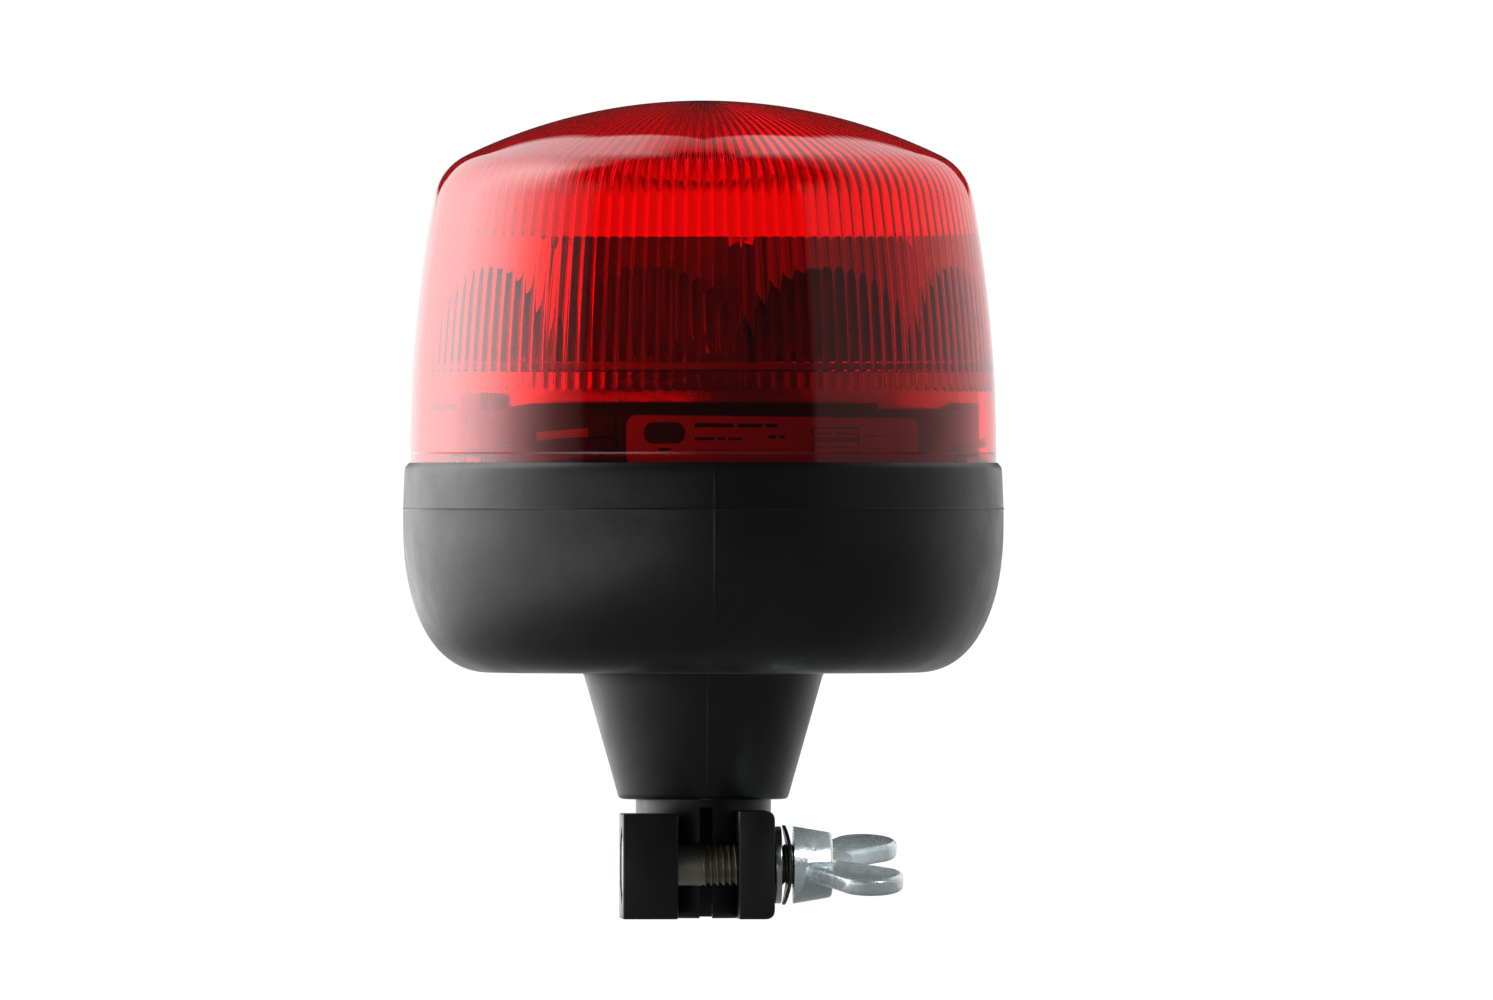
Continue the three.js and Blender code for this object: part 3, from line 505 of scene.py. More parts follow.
LENS = red_lens()
RUBBER = boot_rubber()
SEAL = moulded("seal_rubber", (0.035, 0.035, 0.037), 0.6, 700)
HOUSING = moulded("housing_black", (0.010, 0.010, 0.011), 0.38, 700, (0.03, 0.03, 0.03))
SLEEVE = moulded("sleeve_black", (0.013, 0.013, 0.013), 0.36, 1100, (0.035, 0.035, 0.034))
ZINC = zinc()
CAST_ZINC = zinc("cast_zinc", (0.80, 0.90, 0.93), 0.24, cast=0.09, metallic=0.58)
BOLT_STEEL = zinc("bolt_steel", (0.40, 0.385, 0.31), 0.42)
DARK_STEEL = metal("dark_steel", (0.10, 0.105, 0.11), 0.28)
ALUMINIUM = metal("aluminium", (0.72, 0.73, 0.74), 0.22)
BRASS = metal("brass", (0.72, 0.50, 0.20), 0.25)
CHROME = metallised()
BOARD = board_white()
LABEL = label_paper()
STRIP = moulded("window_strip", (0.85, 0.85, 0.84), 0.25, 700, (0.75, 0.75, 0.74))
LED = led_face()
INK = moulded("label_ink", (0.012, 0.012, 0.012), 0.45, 900, (0.02, 0.02, 0.02))
INSULATOR = moulded("insulator", (0.62, 0.57, 0.47), 0.5, 800, (0.50, 0.46, 0.38))
COMPONENT = moulded("component", (0.02, 0.02, 0.022), 0.35, 900, (0.06, 0.06, 0.06))
WIRE_RED = moulded("wire_red", (0.42, 0.015, 0.012), 0.4, 900, (0.5, 0.08, 0.06))
WIRE_BLACK = moulded("wire_black", (0.015, 0.015, 0.015), 0.4, 900, (0.05, 0.05, 0.05))

SLOT_SURFACES = {
    "sleeve_black": SLEEVE, "zinc_steel": ZINC, "dark_steel": DARK_STEEL, "insulator": INSULATOR,
    "brass": BRASS, "boot_rubber": RUBBER, "housing_black": HOUSING, "label": LABEL, "seal_rubber": SEAL,
    "circuit_board": BOARD, "component_black": COMPONENT, "aluminium": ALUMINIUM, "wire_black": WIRE_BLACK,
    "wire_red": WIRE_RED, "led_package": LED, "metallised_plastic": CHROME, "lens_red": LENS,
}


def dress_cad_nodes():
    """Every CAD node gets the procedural material of its slot."""
    slots = {part["node"]: part["material_slot"] for part in frame["record"]["subparts"]}
    for node, obj in frame["nodes"].items():
        obj.data.materials.clear()
        obj.data.materials.append(SLOT_SURFACES[slots[node]])


# ---------------------------------------------------------------- clamp

def pole_sleeve():
    """Split sleeve with two lugs, a blind bore and the bolt's hole and hexagon pocket."""
    tube = lathe("pole_sleeve_look", rounded([
        (SLEEVE_BORE, 0, 0.5), (SLEEVE_RADIUS, 0, 1.8), (SLEEVE_RADIUS, SLEEVE_TOP),
        (CABLE_HOLE, SLEEVE_TOP), (CABLE_HOLE, SOCKET_DEPTH), (SLEEVE_BORE, SOCKET_DEPTH)], 0.3), 96)
    left = block("left", LEFT_LUG[:2], (LUG_FRONT, LUG_BACK), (0, LEFT_LUG[2]), 0.45)
    x0, x1, height = RIGHT_LUG
    outline = rounded([(0, x0, 0.35), (0, x1, 2.3), (height, x1, 2.3), (height, x0, 0.35)], 0.4, 6)
    right = prism("right", outline, LUG_FRONT, LUG_BACK, "Y")
    modify(right, "BEVEL", width=0.4 * MM, segments=3, limit_method="ANGLE", angle_limit=math.radians(60))
    corner = (HEX_ACROSS_FLATS / 2 + 0.3) / math.cos(math.pi / 6)
    hexagon = circle(corner, 6, BOLT_Y, BOLT_Z, math.pi / 6)
    return combine(tube, [left, right], [
        prism("bore", circle(SLEEVE_BORE, 96), -1, 30),
        block("slit", (-SLIT_WIDTH / 2, SLIT_WIDTH / 2), (-20, 0), (-1, SLIT_TOP), 0),
        prism("hole", circle(BOLT_HOLE, 40, BOLT_Y, BOLT_Z), -25, 20, "X"),
        prism("pocket", rounded(hexagon, 0.5), -25, LEFT_LUG[0] + HEX_HEIGHT + 0.6, "X"),
    ])


def clamp_bolt():
    """Hexagon head with a chamfered face, plain shank, and a helical thread to a chamfered end."""
    sides, groove_width, run_in, chamfer = 48, 0.86, 1.2, 1.1  # groove width as a share of the pitch

    def spread(start, end, step):
        """Places from start to just short of end."""
        return [start + step * k for k in range(math.ceil((end - start) / step))]

    rows = []
    for x in (spread(LEFT_LUG[0] + 2, THREAD_START, 1.5)
              + spread(THREAD_START, BOLT_END, THREAD_PITCH / 10) + [BOLT_END]):
        row = []
        for i in range(sides):
            turn = i / sides
            radius = BOLT_RADIUS
            if x >= THREAD_START:
                phase = ((x - THREAD_START) / THREAD_PITCH - turn) % 1.0
                groove = max(0.0, 1 - abs(phase - 0.5) * 2 / groove_width)
                radius -= THREAD_DEPTH * groove * min(1.0, (x - THREAD_START) / run_in)
                radius = min(radius, BOLT_RADIUS - max(0.0, x - (BOLT_END - chamfer)))
            angle = 2 * math.pi * turn
            row.append((x, BOLT_Y + radius * math.cos(angle), BOLT_Z + radius * math.sin(angle)))
        rows.append(row)
    shank = swept("shank", rows, 50)
    across = HEX_ACROSS_FLATS / math.sqrt(3)
    x0 = LEFT_LUG[0] + 0.3
    head = prism("clamp_bolt_look", circle(across, 6, BOLT_Y, BOLT_Z, math.pi / 6), x0, x0 + HEX_HEIGHT, "X")
    cone = lathe("cone", [(0, 0), (across - 1.1, 0), (across + 0.6, 1.0), (across + 0.6, 8), (0, 8)], 64)
    bolt_axis(cone, x0)
    modify(head, "BOOLEAN", operation="INTERSECT", object=cone, solver="MANIFOLD")
    bpy.data.objects.remove(cone)
    return combine(head, [shank], sharp=50)


def bolt_axis(obj, x):
    """Stands a piece made round +Z on the bolt's axis, with z = 0 at x."""
    turn = Matrix.Rotation(math.pi / 2, 4, "Y")
    obj.data.transform(Matrix.Translation(Vector((x, BOLT_Y, BOLT_Z)) * MM) @ turn)
    return obj


def flat_washer():
    ring = lathe("flat_washer_look", rounded([(5.25, 0), (9.1, 0), (9.1, 1.5), (5.25, 1.5)], 0.3), 64)
    return bolt_axis(ring, WASHER_X)


def spring_washer():
    """Thin ring bowed so that its middle stands towards the nut."""
    radius, hole, thickness, bow = 9.4, 5.4, 0.8, 1.5
    between = (7.0, 8.2)  # rings of points that let the flat sides bend
    ring = lathe("spring_washer_look", rounded([
        (hole, 0), *((r, 0, 0) for r in between), (radius, 0),
        (radius, thickness), *((r, thickness, 0) for r in reversed(between)), (hole, thickness)], 0.2, 3), 72)
    bolt_axis(ring, SPRING_WASHER_X)
    for v in ring.data.vertices:
        height = (v.co.z / MM - BOLT_Z) / radius
        v.co.x += bow * (1 - height * height) * MM
    return ring


def wing_nut():
    """Cast wing nut: tapered hub and two rounded wings melted together, with a clean bore and base."""
    length, base, end = NUT_HUB
    below = 2.0  # stretch under the base that is cut off again
    outline = rounded([(0, -below), (base + 0.3, -below), (end, length, 0.9), (0, length)], 0.1, 5)
    hub = lathe("wing_nut_look", outline, 72)
    hub.data.transform(Matrix.Rotation(math.pi / 2, 4, "Y"))
    along, across, tip = WING_TIP
    root, root_radius = Vector((5.0, 3.8)), 4.4
    lean = math.atan2(across - root.y, along - root.x)
    quarter = math.pi / 2
    outline = []
    for k in range(25):
        angle = lean - quarter + math.pi * k / 24
        outline.append((along + tip * math.cos(angle), across + tip * math.sin(angle)))
    for k in range(13):
        angle = lean + quarter + math.pi * k / 12
        outline.append((root.x + root_radius * math.cos(angle), root.y + root_radius * math.sin(angle)))
    half = WING_THICKNESS / 2
    wings = []
    for side in (1, -1):
        wing = prism("wing", [(a, b * side) for a, b in outline], -half, half)
        modify(wing, "BEVEL", width=1.1 * MM, segments=4, limit_method="ANGLE", angle_limit=math.radians(50))
        wings.append(wing)
    combine(hub, wings)
    modify(hub, "REMESH", mode="VOXEL", voxel_size=0.34 * MM)
    modify(hub, "SMOOTH", factor=0.5, iterations=9)
    inside = prism("inside", circle(5.25, 48), -5, 14, "X")
    under = block("under", (-5, 0.05), (-14, 14), (-14, 14), 0)
    combine(hub, [], [inside, under], 40)
    hub.data.transform(Matrix.Translation(Vector((NUT_X, BOLT_Y, BOLT_Z)) * MM)
                       @ Matrix.Rotation(math.radians(WING_TILT), 4, "X"))
    return hub


# ---------------------------------------------------------------- rubber boot

def bowl_corner(inset, steps):
    """Soft corner from the bowl's floor up to its wall, set in by a depth."""
    power = 2 / BOWL_POWER
    across = BOWL_RADIUS - BOWL_FLAT - inset
    up = BOWL_CORNER_TOP - BOWL_FLOOR - inset
    out = []
    for i in range(steps + 1):
        angle = math.pi / 2 * i / steps
        out.append((BOWL_FLAT + across * math.sin(angle) ** power,
                    BOWL_CORNER_TOP - up * max(math.cos(angle), 0.0) ** power))
    return out


def boot():
    """Stem and bowl in one moulding, with parting lines and a little flash."""
    outline = [(16.3, STEM_BOTTOM)]
    outline += [(18.6, STEM_BOTTOM), (19.4, STEM_BOTTOM + 0.1), (20.0, STEM_BOTTOM + 0.5)]
    stem_from = len(outline)
    (foot, foot_z), (top, top_z) = STEM_CONE
    outline += [(foot + (top - foot) * t / 12, foot_z + (top_z - foot_z) * t / 12) for t in range(13)]
    outline += [(28.45, 57.62), (29.0, 57.86), (33.0, BOWL_FLOOR), (41.0, BOWL_FLOOR)]
    outline += bowl_corner(0, 28)
    outline += [(71.0, 96.2), (71.02, 96.55), (71.14, MOULD_LINE), (70.98, 96.85), (70.96, 97.2)]
    outline += [(70.9, 99.5), (70.8, 102), (70.68, 104.5)]
    outer_to = len(outline) - 1
    outline += [(70.6, 105.9), (70.45, 106.5), (70.1, 106.9), (69.75, 107.35), (69.55, 107.5), (69.42, 107.2)]
    outline += [(69.4, 106.2), (69.55, 104), (69.6, 97.9), (67.5, 97.4)]
    outline += list(reversed(bowl_corner(BOWL_WALL, 10)))
    outline += [(12, 61.4), (12, 57.75), (21.3, 57.7), (21.3, 54.0), (9.4, 54.0), (9.4, 42.3), (16.3, 42.3)]
    fine = [0.0, 0.12, 0.25, 0.4, 0.7, 1.2, 2.0]
    near = sorted({s * f for f in fine for s in (1, -1)})
    bearings = near + [2.0 + 176.0 * i / 88 for i in range(1, 88)]
    bearings += [180 + b for b in near] + [182.0 + 176.0 * i / 88 for i in range(1, 88)]

    def seam(index, bearing):
        """Height of the parting lines at the front and the back."""
        if not stem_from <= index <= outer_to:
            return 0.0
        off = abs((bearing + 90) % 180 - 90)
        wobble = 0.5 + 0.5 * math.sin(index * 2.3) * math.sin(index * 0.71 + 1.0)
        return (0.05 + 0.10 * wobble) * max(0.0, 1 - off / SEAM_SPREAD)

    return lathe("rubber_boot", outline, 0, 40, bearings, seam)


def flash_bits():
    """Rags of rubber flash along the parting lines."""
    bits = []
    places = [(71.05, MOULD_LINE, b, 0.25, 0.5) for b in (-84, -62, -25, -13, 31, 52, 74, 83, 86)]
    places += [(29.6, 57.75, b, 0.35, 0.4) for b in (-38, -29, -22, -6, 3, 17, 33)]
    for z in (84.5, 82, 79.3, 77.4):
        up = (BOWL_CORNER_TOP - z) / (BOWL_CORNER_TOP - BOWL_FLOOR)
        out = (1 - up ** BOWL_POWER) ** (1 / BOWL_POWER)
        places.append((BOWL_FLAT + (BOWL_RADIUS - BOWL_FLAT) * out + 0.1, z, 0.0, 0.22, 0.45))
    for k, (radius, z, bearing, size, width) in enumerate(places):
        spread = width * (0.7 + 0.6 * math.sin(k * 1.7) ** 2)
        height = size * (0.7 + 0.5 * math.sin(k * 2.9) ** 2)
        outline = [(-0.5, 0), (-0.1, -0.7), (height * 0.5, -0.2), (height * 0.3, 0.4), (-0.1, 0.8)]
        bits.append(swept(f"bit{k}", [
            [at(radius + out, bearing + spread * along, z + lift) for out, along in outline]
            for lift in (-0.09, 0.09)]))
    return merge("rubber_flash", bits)


# ---------------------------------------------------------------- housing and label

def collar_part(name, place_on_collar, turn, inner, outer, steps, edge):
    start, sweep, low, high, rise = place_on_collar
    return sector(name, inner, outer, low, high, turn + start, sweep, rise, steps, edge)


def collar_window(turn, inner=COLLAR_RADIUS - 4, outer=COLLAR_RADIUS + 1.5, gap=0.0, edge=0.6):
    """Body that cuts a window, or fills it with a gap all round."""
    start, sweep, low, high, rise = WINDOW
    return sector("window", inner, outer, low + gap, high - gap,
                  turn + start + gap, sweep - 2 * gap, rise, 12, edge)


def housing_collar():
    """Flange, ring with ramped upper edge, bayonet ribs, windows and locating tabs."""
    inner, root, reach = COLLAR_RADIUS - COLLAR_WALL, COLLAR_RADIUS - 1, 67.0
    ring = lathe("housing_collar_look", rounded([
        (50, 95), (67.1, 95), (67.1, 97.5), (COLLAR_RADIUS, 97.5, 0.6), (COLLAR_RADIUS, COLLAR_TOP, 0.35),
        (inner, COLLAR_TOP, 0.35), (inner, 97.5, 0.6), (50, 97.5)], 0.25, 3), 192)
    joined, cut = [], []
    for turn in BAYONETS:
        joined.append(collar_part("rib", RIB, turn, root, reach, 30, 0.2))
        joined.append(collar_part("stop", STOP, turn, root, reach, 2, 0.2))
        joined.append(ramped_edge(inner, turn, *RAISED_EDGE))
    for turn in OPPOSITE:
        joined.append(collar_part("tab", TAB, turn, inner, COLLAR_RADIUS, 8, 0.4))
        joined += window_frame(turn)
        cut.append(collar_window(turn))
    bosses = [prism("boss", circle(4, 32, p.x, p.y), 96, 117.2) for p in sink_screw_places()]
    return combine(ring, joined + bosses, cut)


def ramped_edge(inner, turn, offset, ramp, sweep):
    """Stretch of the collar that rises over a ramp from the low edge to the high one."""
    start = turn + offset
    bearings = [start + ramp * k / 16 for k in range(17)]
    bearings += [start + ramp + (sweep - ramp) * k / 40 for k in range(1, 41)]
    rows = []
    for bearing in bearings:
        t = min(1.0, (bearing - start) / ramp)
        top = COLLAR_TOP - 0.2 + (COLLAR_HIGH + 0.2 - COLLAR_TOP) * t * t * (3 - 2 * t)
        section = rounded([(inner, 117), (COLLAR_RADIUS, 117), (COLLAR_RADIUS, top), (inner, top)], 0.3, 2)
        rows.append([at(r, bearing, z) for r, z in section])
    return swept("edge", rows)


def window_frame(turn):
    """Fine bead moulded round each window, open below."""
    inner, outer = COLLAR_RADIUS - 0.5, COLLAR_RADIUS + 0.14
    return [collar_part("bead", bead, turn, inner, outer, steps, 0.06)
            for bead, steps in ((BEAD_ABOVE, 16), (BEAD_BESIDE, 1))]


def sink_screw_places():
    """The heat sink's four screws."""
    return [at(54, CORNER_BEARING + turn) for turn in (0, 90, 180, 270)]


def label_patch(name, span, heights, radius, thickness, corner=0.0, steps=40):
    """Patch of film wrapped on the collar, with rounded corners."""
    start, end = span
    low, high = heights
    degrees = math.degrees(1 / COLLAR_RADIUS)
    width = (end - start) / degrees
    columns = sorted({min(max(width * i / steps, 0.0), width) for i in range(steps + 1)}
                     | {corner * (1 - math.cos(math.pi / 2 * k / 6)) for k in range(7)}
                     | {width - corner * (1 - math.cos(math.pi / 2 * k / 6)) for k in range(7)})
    rows = []
    for a in columns:
        into = max(0.0, corner - min(a, width - a))
        inset = corner - math.sqrt(max(0.0, corner ** 2 - into ** 2))
        bearing = start + a * degrees
        drop = LABEL_DROP * (bearing - LABEL_SPAN[0]) / (LABEL_SPAN[1] - LABEL_SPAN[0])
        bottom, top = low + inset, high - inset - drop
        rows.append([at(r, bearing, z) for r, z in (
            (radius, bottom), (radius, top), (radius + thickness, top), (radius + thickness, bottom))])
    return swept(name, rows)


def label_print():
    """Generic print with no lettering: an oval, bars and two empty frames, set out from the left edge."""
    radius = COLLAR_RADIUS + 0.46
    degrees = math.degrees(1 / radius)
    marks = []

    def bar(start, width, z, height, corner=0.0, steps=6):
        begin = LABEL_SPAN[0] + start * degrees
        span = (begin, begin + width * degrees)
        marks.append(label_patch(f"bar{len(marks)}", span, (z, z + height), radius, 0.05, corner, steps))

    def outline(start, width, z, height, line=0.28):
        bar(start, width, z, line)
        bar(start, width, z + height, line)
        bar(start, line, z + line / 2, height)
        bar(start + width - line, line, z + line / 2, height)

    bar(4.2, 9.7, 111.9, 5.1, 2.2, 10)
    bar(7.6, 3.0, 110.2, 0.8, 0.35)
    for start, width in ((16.0, 9.0), (26.0, 5.8), (32.6, 2.8)):
        bar(start, width, 115.7, 1.2)
    for start, width in ((16.0, 4.7), (21.4, 1.7), (23.9, 3.2)):
        bar(start, width, 112.7, 0.9)
    bar(16.0, 9.7, 110.4, 0.3)
    for start, width in ((33.4, 1.7), (35.8, 1.5)):
        bar(start, width, 113.1, 1.1)
    outline(44.0, 12.3, 113.2, 2.5)
    outline(44.0, 12.3, 109.8, 2.9)
    for start, width, z in ((45.2, 3.4, 114.2), (49.8, 5.4, 114.2), (45.2, 2.1, 111.0), (49.0, 5.8, 111.0),
                            (58.6, 3.2, 113.7), (62.8, 2.1, 113.7), (66.2, 2.8, 113.7), (57.6, 6.0, 110.8),
                            (64.6, 4.7, 110.8), (70.2, 1.6, 110.8)):
        bar(start, width, z, 0.8)
    return merge("label_print", marks)


# ---------------------------------------------------------------- light engine

def heat_sink():
    """Disc with a skirt and twelve fins under it."""
    disc = lathe("heat_sink_look", rounded([
        (8, 124.9), (58, 124.9), (58, 117.5), (60.5, 117.5), (60.5, 128.9), (8, 128.9)], 0.3, 3), 192)
    fins = []
    for k in range(12):
        fin = block("fin", (-0.9, 0.9), (-58.5, -14), (118.5, 125.5), 0)
        fin.data.transform(Matrix.Rotation(math.radians(CORNER_BEARING + 15 + 30 * k), 4, "Z"))
        fins.append(fin)
    return combine(disc, fins)


def led_board():
    return lathe("led_board_look", rounded([(0, 129.2), (61, 129.2), (61, 130.8), (0, 130.8)], 0.2, 2), 192)


def reflector():
    """Eight-sided block whose sides each hold half a paraboloid dish, with notches at its upper corners."""
    bottom, top, corner_radius = REFLECTOR
    height = top - bottom
    half = corner_radius * math.sin(math.pi / 8)
    face = corner_radius * math.cos(math.pi / 8)
    depth_at = lambda r: (DISH_MOUTH ** 2 - r * r) / (4 * DISH_FOCUS)
    spokes, rings, outside = 32, 14, 10
    notch, notch_width = 3.0, 3.8
    eased = 8.5  # width of each side that curves round to the next
    bend = eased / math.tan(math.pi / 8)

    def curve(u):
        """Distance u along a side and how far the surface stands back there, with its ends rounded."""
        beyond = abs(u) - (half - eased)
        if beyond <= 0:
            return u, 0.0
        turn = math.pi / 8 * beyond / eased
        return math.copysign(half - eased + bend * math.sin(turn), u), bend * (1 - math.cos(turn))

    def rim(u):
        """Height of the top edge at a distance u from the middle of a side."""
        return height - notch * max(0.0, 1 - (half - abs(u)) / notch_width)

    def edge_point(angle):
        """Where a ray at the angle leaves the side's rectangle."""
        c, s = math.cos(angle), math.sin(angle)
        reach = min(half / abs(c) if abs(c) > 1e-9 else 1e9, height / s if s > 1e-9 else 1e9)
        return reach * c, min(reach * s, height)

    angles = {math.pi * i / spokes for i in range(spokes + 1)}
    angles |= {math.atan2(height, half), math.pi - math.atan2(height, half)}
    angles |= {math.atan2(height, half - notch_width), math.pi - math.atan2(height, half - notch_width)}
    angles = sorted(angles)
    verts, faces = [], []
    for cell in range(8):
        bearing = CORNER_BEARING + 45 * (cell + 0.5)
        base = len(verts)
        across, outward = at(1, bearing + 90), at(1, bearing)
        for angle in angles:
            eu, ev = edge_point(angle)
            ev = min(ev, rim(eu))
            for k in range(rings + outside + 1):
                if k <= rings:
                    r = DISH_MOUTH * (k / rings)
                    u, v, depth = r * math.cos(angle), r * math.sin(angle), depth_at(r)
                else:
                    t = (k - rings) / outside
                    su, sv = DISH_MOUTH * math.cos(angle), DISH_MOUTH * math.sin(angle)
                    u, v, depth = su + (eu - su) * t, sv + (ev - sv) * t, 0.0
                u, back = curve(u)
                point = across * u + outward * (face - depth - back)
                verts.append((point.x, point.y, bottom + v))
        row = rings + outside + 1
        for i in range(len(angles) - 1):
            for k in range(row - 1):
                a = base + i * row + k
                faces.append([a, a + 1, a + row + 1, a + row])
    shell = make("reflector_look", verts, faces)
    close_shell(shell, bottom, top)
    return shell


def close_shell(shell, bottom, top):
    """Caps the reflector's open top and bottom edges."""
    b = bmesh.new()
    b.from_mesh(shell.data)
    bmesh.ops.remove_doubles(b, verts=b.verts, dist=0.02 * MM)
    open_edges = [e for e in b.edges if e.is_boundary]
    upper = [e for e in open_edges if sum(v.co.z for v in e.verts) / 2 > (bottom + 20) * MM]
    lower = [e for e in open_edges if e not in upper]
    for edges, z, drawn_in in ((upper, top, 0.93), (lower, bottom, 0.5)):
        made = bmesh.ops.extrude_edge_only(b, edges=edges)
        for v in made["geom"]:
            if isinstance(v, bmesh.types.BMVert):
                v.co = (v.co.x * drawn_in, v.co.y * drawn_in, z * MM)
        loop = [e for e in made["geom"] if isinstance(e, bmesh.types.BMEdge) and e.is_boundary]
        bmesh.ops.contextual_create(b, geom=loop)
    b.to_mesh(shell.data)
    b.free()
    finish_mesh(shell, 30)


# ---------------------------------------------------------------- lens

def lens_arcs(inset):
    """Points of the lens's section from the axis down to its lower edge, set in by a depth."""
    cap = Vector((0.0, DOME_TOP - DOME_ARC))
    side = Vector((LENS_RADIUS - SIDE_ARC, SIDE_ARC_Z))
    to_cap, to_side = DOME_ARC - SHOULDER_ARC, SIDE_ARC - SHOULDER_ARC
    span = (side - cap).length
    along = (to_cap ** 2 - to_side ** 2 + span ** 2) / (2 * span)
    off = math.sqrt(to_cap ** 2 - along ** 2)
    direction = (side - cap).normalized()
    centre = cap + direction * along + Vector((direction.y, -direction.x)) * off
    cap_end = math.atan2(centre.y - cap.y, centre.x - cap.x)
    side_start = math.atan2(centre.y - side.y, centre.x - side.x)

    def arc(middle, radius, start, end, steps):
        return [(middle.x + radius * math.cos(start + (end - start) * i / steps),
                 middle.y + radius * math.sin(start + (end - start) * i / steps)) for i in range(steps + 1)]

    points = arc(cap, DOME_ARC - inset, math.pi / 2, cap_end, 26)
    points[0] = (0.0, points[0][1])
    points += arc(centre, SHOULDER_ARC - inset, cap_end, side_start, 12)[1:]
    points += arc(side, SIDE_ARC - inset, side_start, 0.0, 20)[1:]
    return points + [(LENS_RADIUS - inset, LENS_BOTTOM)]


def lens():
    """Clear shell with a smooth outside, and flutes inside that run up the wall and over to the middle."""
    columns = FLUTES * FLUTE_STEPS
    outer_columns = columns // 4
    outer = lens_arcs(0)
    step_line = [(LENS_RADIUS - depth, z)
                 for depth, z in ((0, 109.75), (0.05, 109.6), (0.02, 109.4), (0, 109.2))]
    outer = [p for p in outer if p[1] > 109.8] + step_line + [(LENS_RADIUS, LENS_BOTTOM)]
    inner = lens_arcs(LENS_WALL)
    wall_radius = lambda z: LENS_RADIUS - LENS_WALL - max(0.0, z - SIDE_ARC_Z) ** 2 / (2 * SIDE_ARC)
    ends = [FLUTE_END + f for f in (2.0, 1.5, 1.1, 0.75, 0.45, 0.2, 0.0, -0.3)]
    inner = [p for p in inner if p[1] > ends[0] + 0.5] + [(wall_radius(z), z) for z in ends]
    inner += [(LENS_RADIUS - LENS_WALL, SIDE_ARC_Z), (LENS_RADIUS - LENS_WALL, LENS_BOTTOM)]
    pitch = 2 * math.pi * (LENS_RADIUS - LENS_WALL) / FLUTES
    smooth_radius = 7.5
    verts, faces = [(0, 0, DOME_TOP)], []
    outer_rings = []
    for r, z in outer[1:]:
        outer_rings.append(range(len(verts), len(verts) + outer_columns))
        verts += [at(r, 360.0 * i / outer_columns, z) for i in range(outer_columns)]
    middle = len(verts)
    verts.append((0, 0, inner[0][1]))
    inner_rings = []
    core = [p for p in inner[1:] if p[0] < smooth_radius]
    fluted = [p for p in inner[1:] if p[0] >= smooth_radius]
    for r, z in core:
        inner_rings.append(range(len(verts), len(verts) + FLUTES // 2))
        verts += [at(r, 720.0 * i / FLUTES, z) for i in range(FLUTES // 2)]
    previous = core[-1] if core else inner[0]
    for k, (r, z) in enumerate(fluted):
        inner_rings.append(range(len(verts), len(verts) + columns))
        following = fluted[min(k + 1, len(fluted) - 1)]
        tangent = Vector((following[0] - previous[0], following[1] - previous[1])).normalized()
        inward = Vector((tangent.y, -tangent.x))
        if inward.x > 0 or (abs(inward.x) < 0.3 and inward.y > 0):
            inward = -inward
        local = r / (LENS_RADIUS - LENS_WALL)
        height = FLUTE_HEIGHT * min(1.0, local * 1.15) * min(1.0, (r - smooth_radius) / 6.0)
        end = max(0.0, 1 - max(0.0, z - FLUTE_END) / (pitch / 2))
        for i in range(columns):
            u = (i % FLUTE_STEPS) / FLUTE_STEPS * 2 - 1
            rise = height * max(0.0, 1 - u * u - end * end)
            verts.append(at(r + inward.x * rise, 360.0 * i / columns, z + inward.y * rise))
        previous = (r, z)

    def strip(a, b):
        """Faces between two rings, where one may have a whole number of times more points."""
        if len(a) < len(b):
            a, b = b, a
        ratio = len(a) // len(b)
        for i in range(len(b)):
            j = (i + 1) % len(b)
            many = [a[(i * ratio + k) % len(a)] for k in range(ratio + 1)]
            faces.append(many + [b[j], b[i]])

    def fan(centre, ring):
        for i in range(len(ring)):
            faces.append([centre, ring[i], ring[(i + 1) % len(ring)]])

    fan(0, outer_rings[0])
    fan(middle, inner_rings[0])
    for rings in (outer_rings, inner_rings):
        for a, b in zip(rings, rings[1:]):
            strip(a, b)
    strip(outer_rings[-1], inner_rings[-1])
    shell = make("red_lens_look", verts, faces, 62)
    lugs = [collar_part("lug", LENS_LUG, turn, LUG_INNER, LENS_RADIUS - LENS_WALL + 0.4, 8, 0.3)
            for turn in BAYONETS]
    return merge("red_lens_look", [shell] + lugs, 62)


# ---------------------------------------------------------------- building the object

def copied(node):
    """Copy of a CAD node's mesh in an object of its own."""
    copy = frame["nodes"][node].copy()
    copy.data = copy.data.copy()
    copy.name = node + "_look"
    copy.parent = None
    copy.matrix_world = Matrix.Identity(4)
    bpy.context.scene.collection.objects.link(copy)
    return copy


dress_cad_nodes()
place(pole_sleeve(), "sleeve", "sleeve_black", SLEEVE, "pole_sleeve")
place(clamp_bolt(), "sleeve", "zinc_steel", BOLT_STEEL, "clamp_bolt")
place(flat_washer(), "washers", "zinc_steel", ZINC, "flat_washer")
place(spring_washer(), "washers", "dark_steel", DARK_STEEL, "spring_washer")
place(wing_nut(), "nut", "zinc_steel", CAST_ZINC, "wing_nut")

rubber = place(boot(), None, "boot_rubber", RUBBER, "rubber_stem", "rubber_bowl")
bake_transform(rubber)
place(flash_bits(), "head", "boot_rubber", RUBBER)
for wire_node, wire_slot in (("feed_wire", "wire_red"), ("earth_wire", "wire_black")):
    wire = place(copied(wire_node), None, wire_slot, SLOT_SURFACES[wire_slot], wire_node)
    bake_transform(wire)

spring = place(copied("contact_spring"), "sleeve", "zinc_steel", ZINC, "contact_spring")
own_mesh(spring)

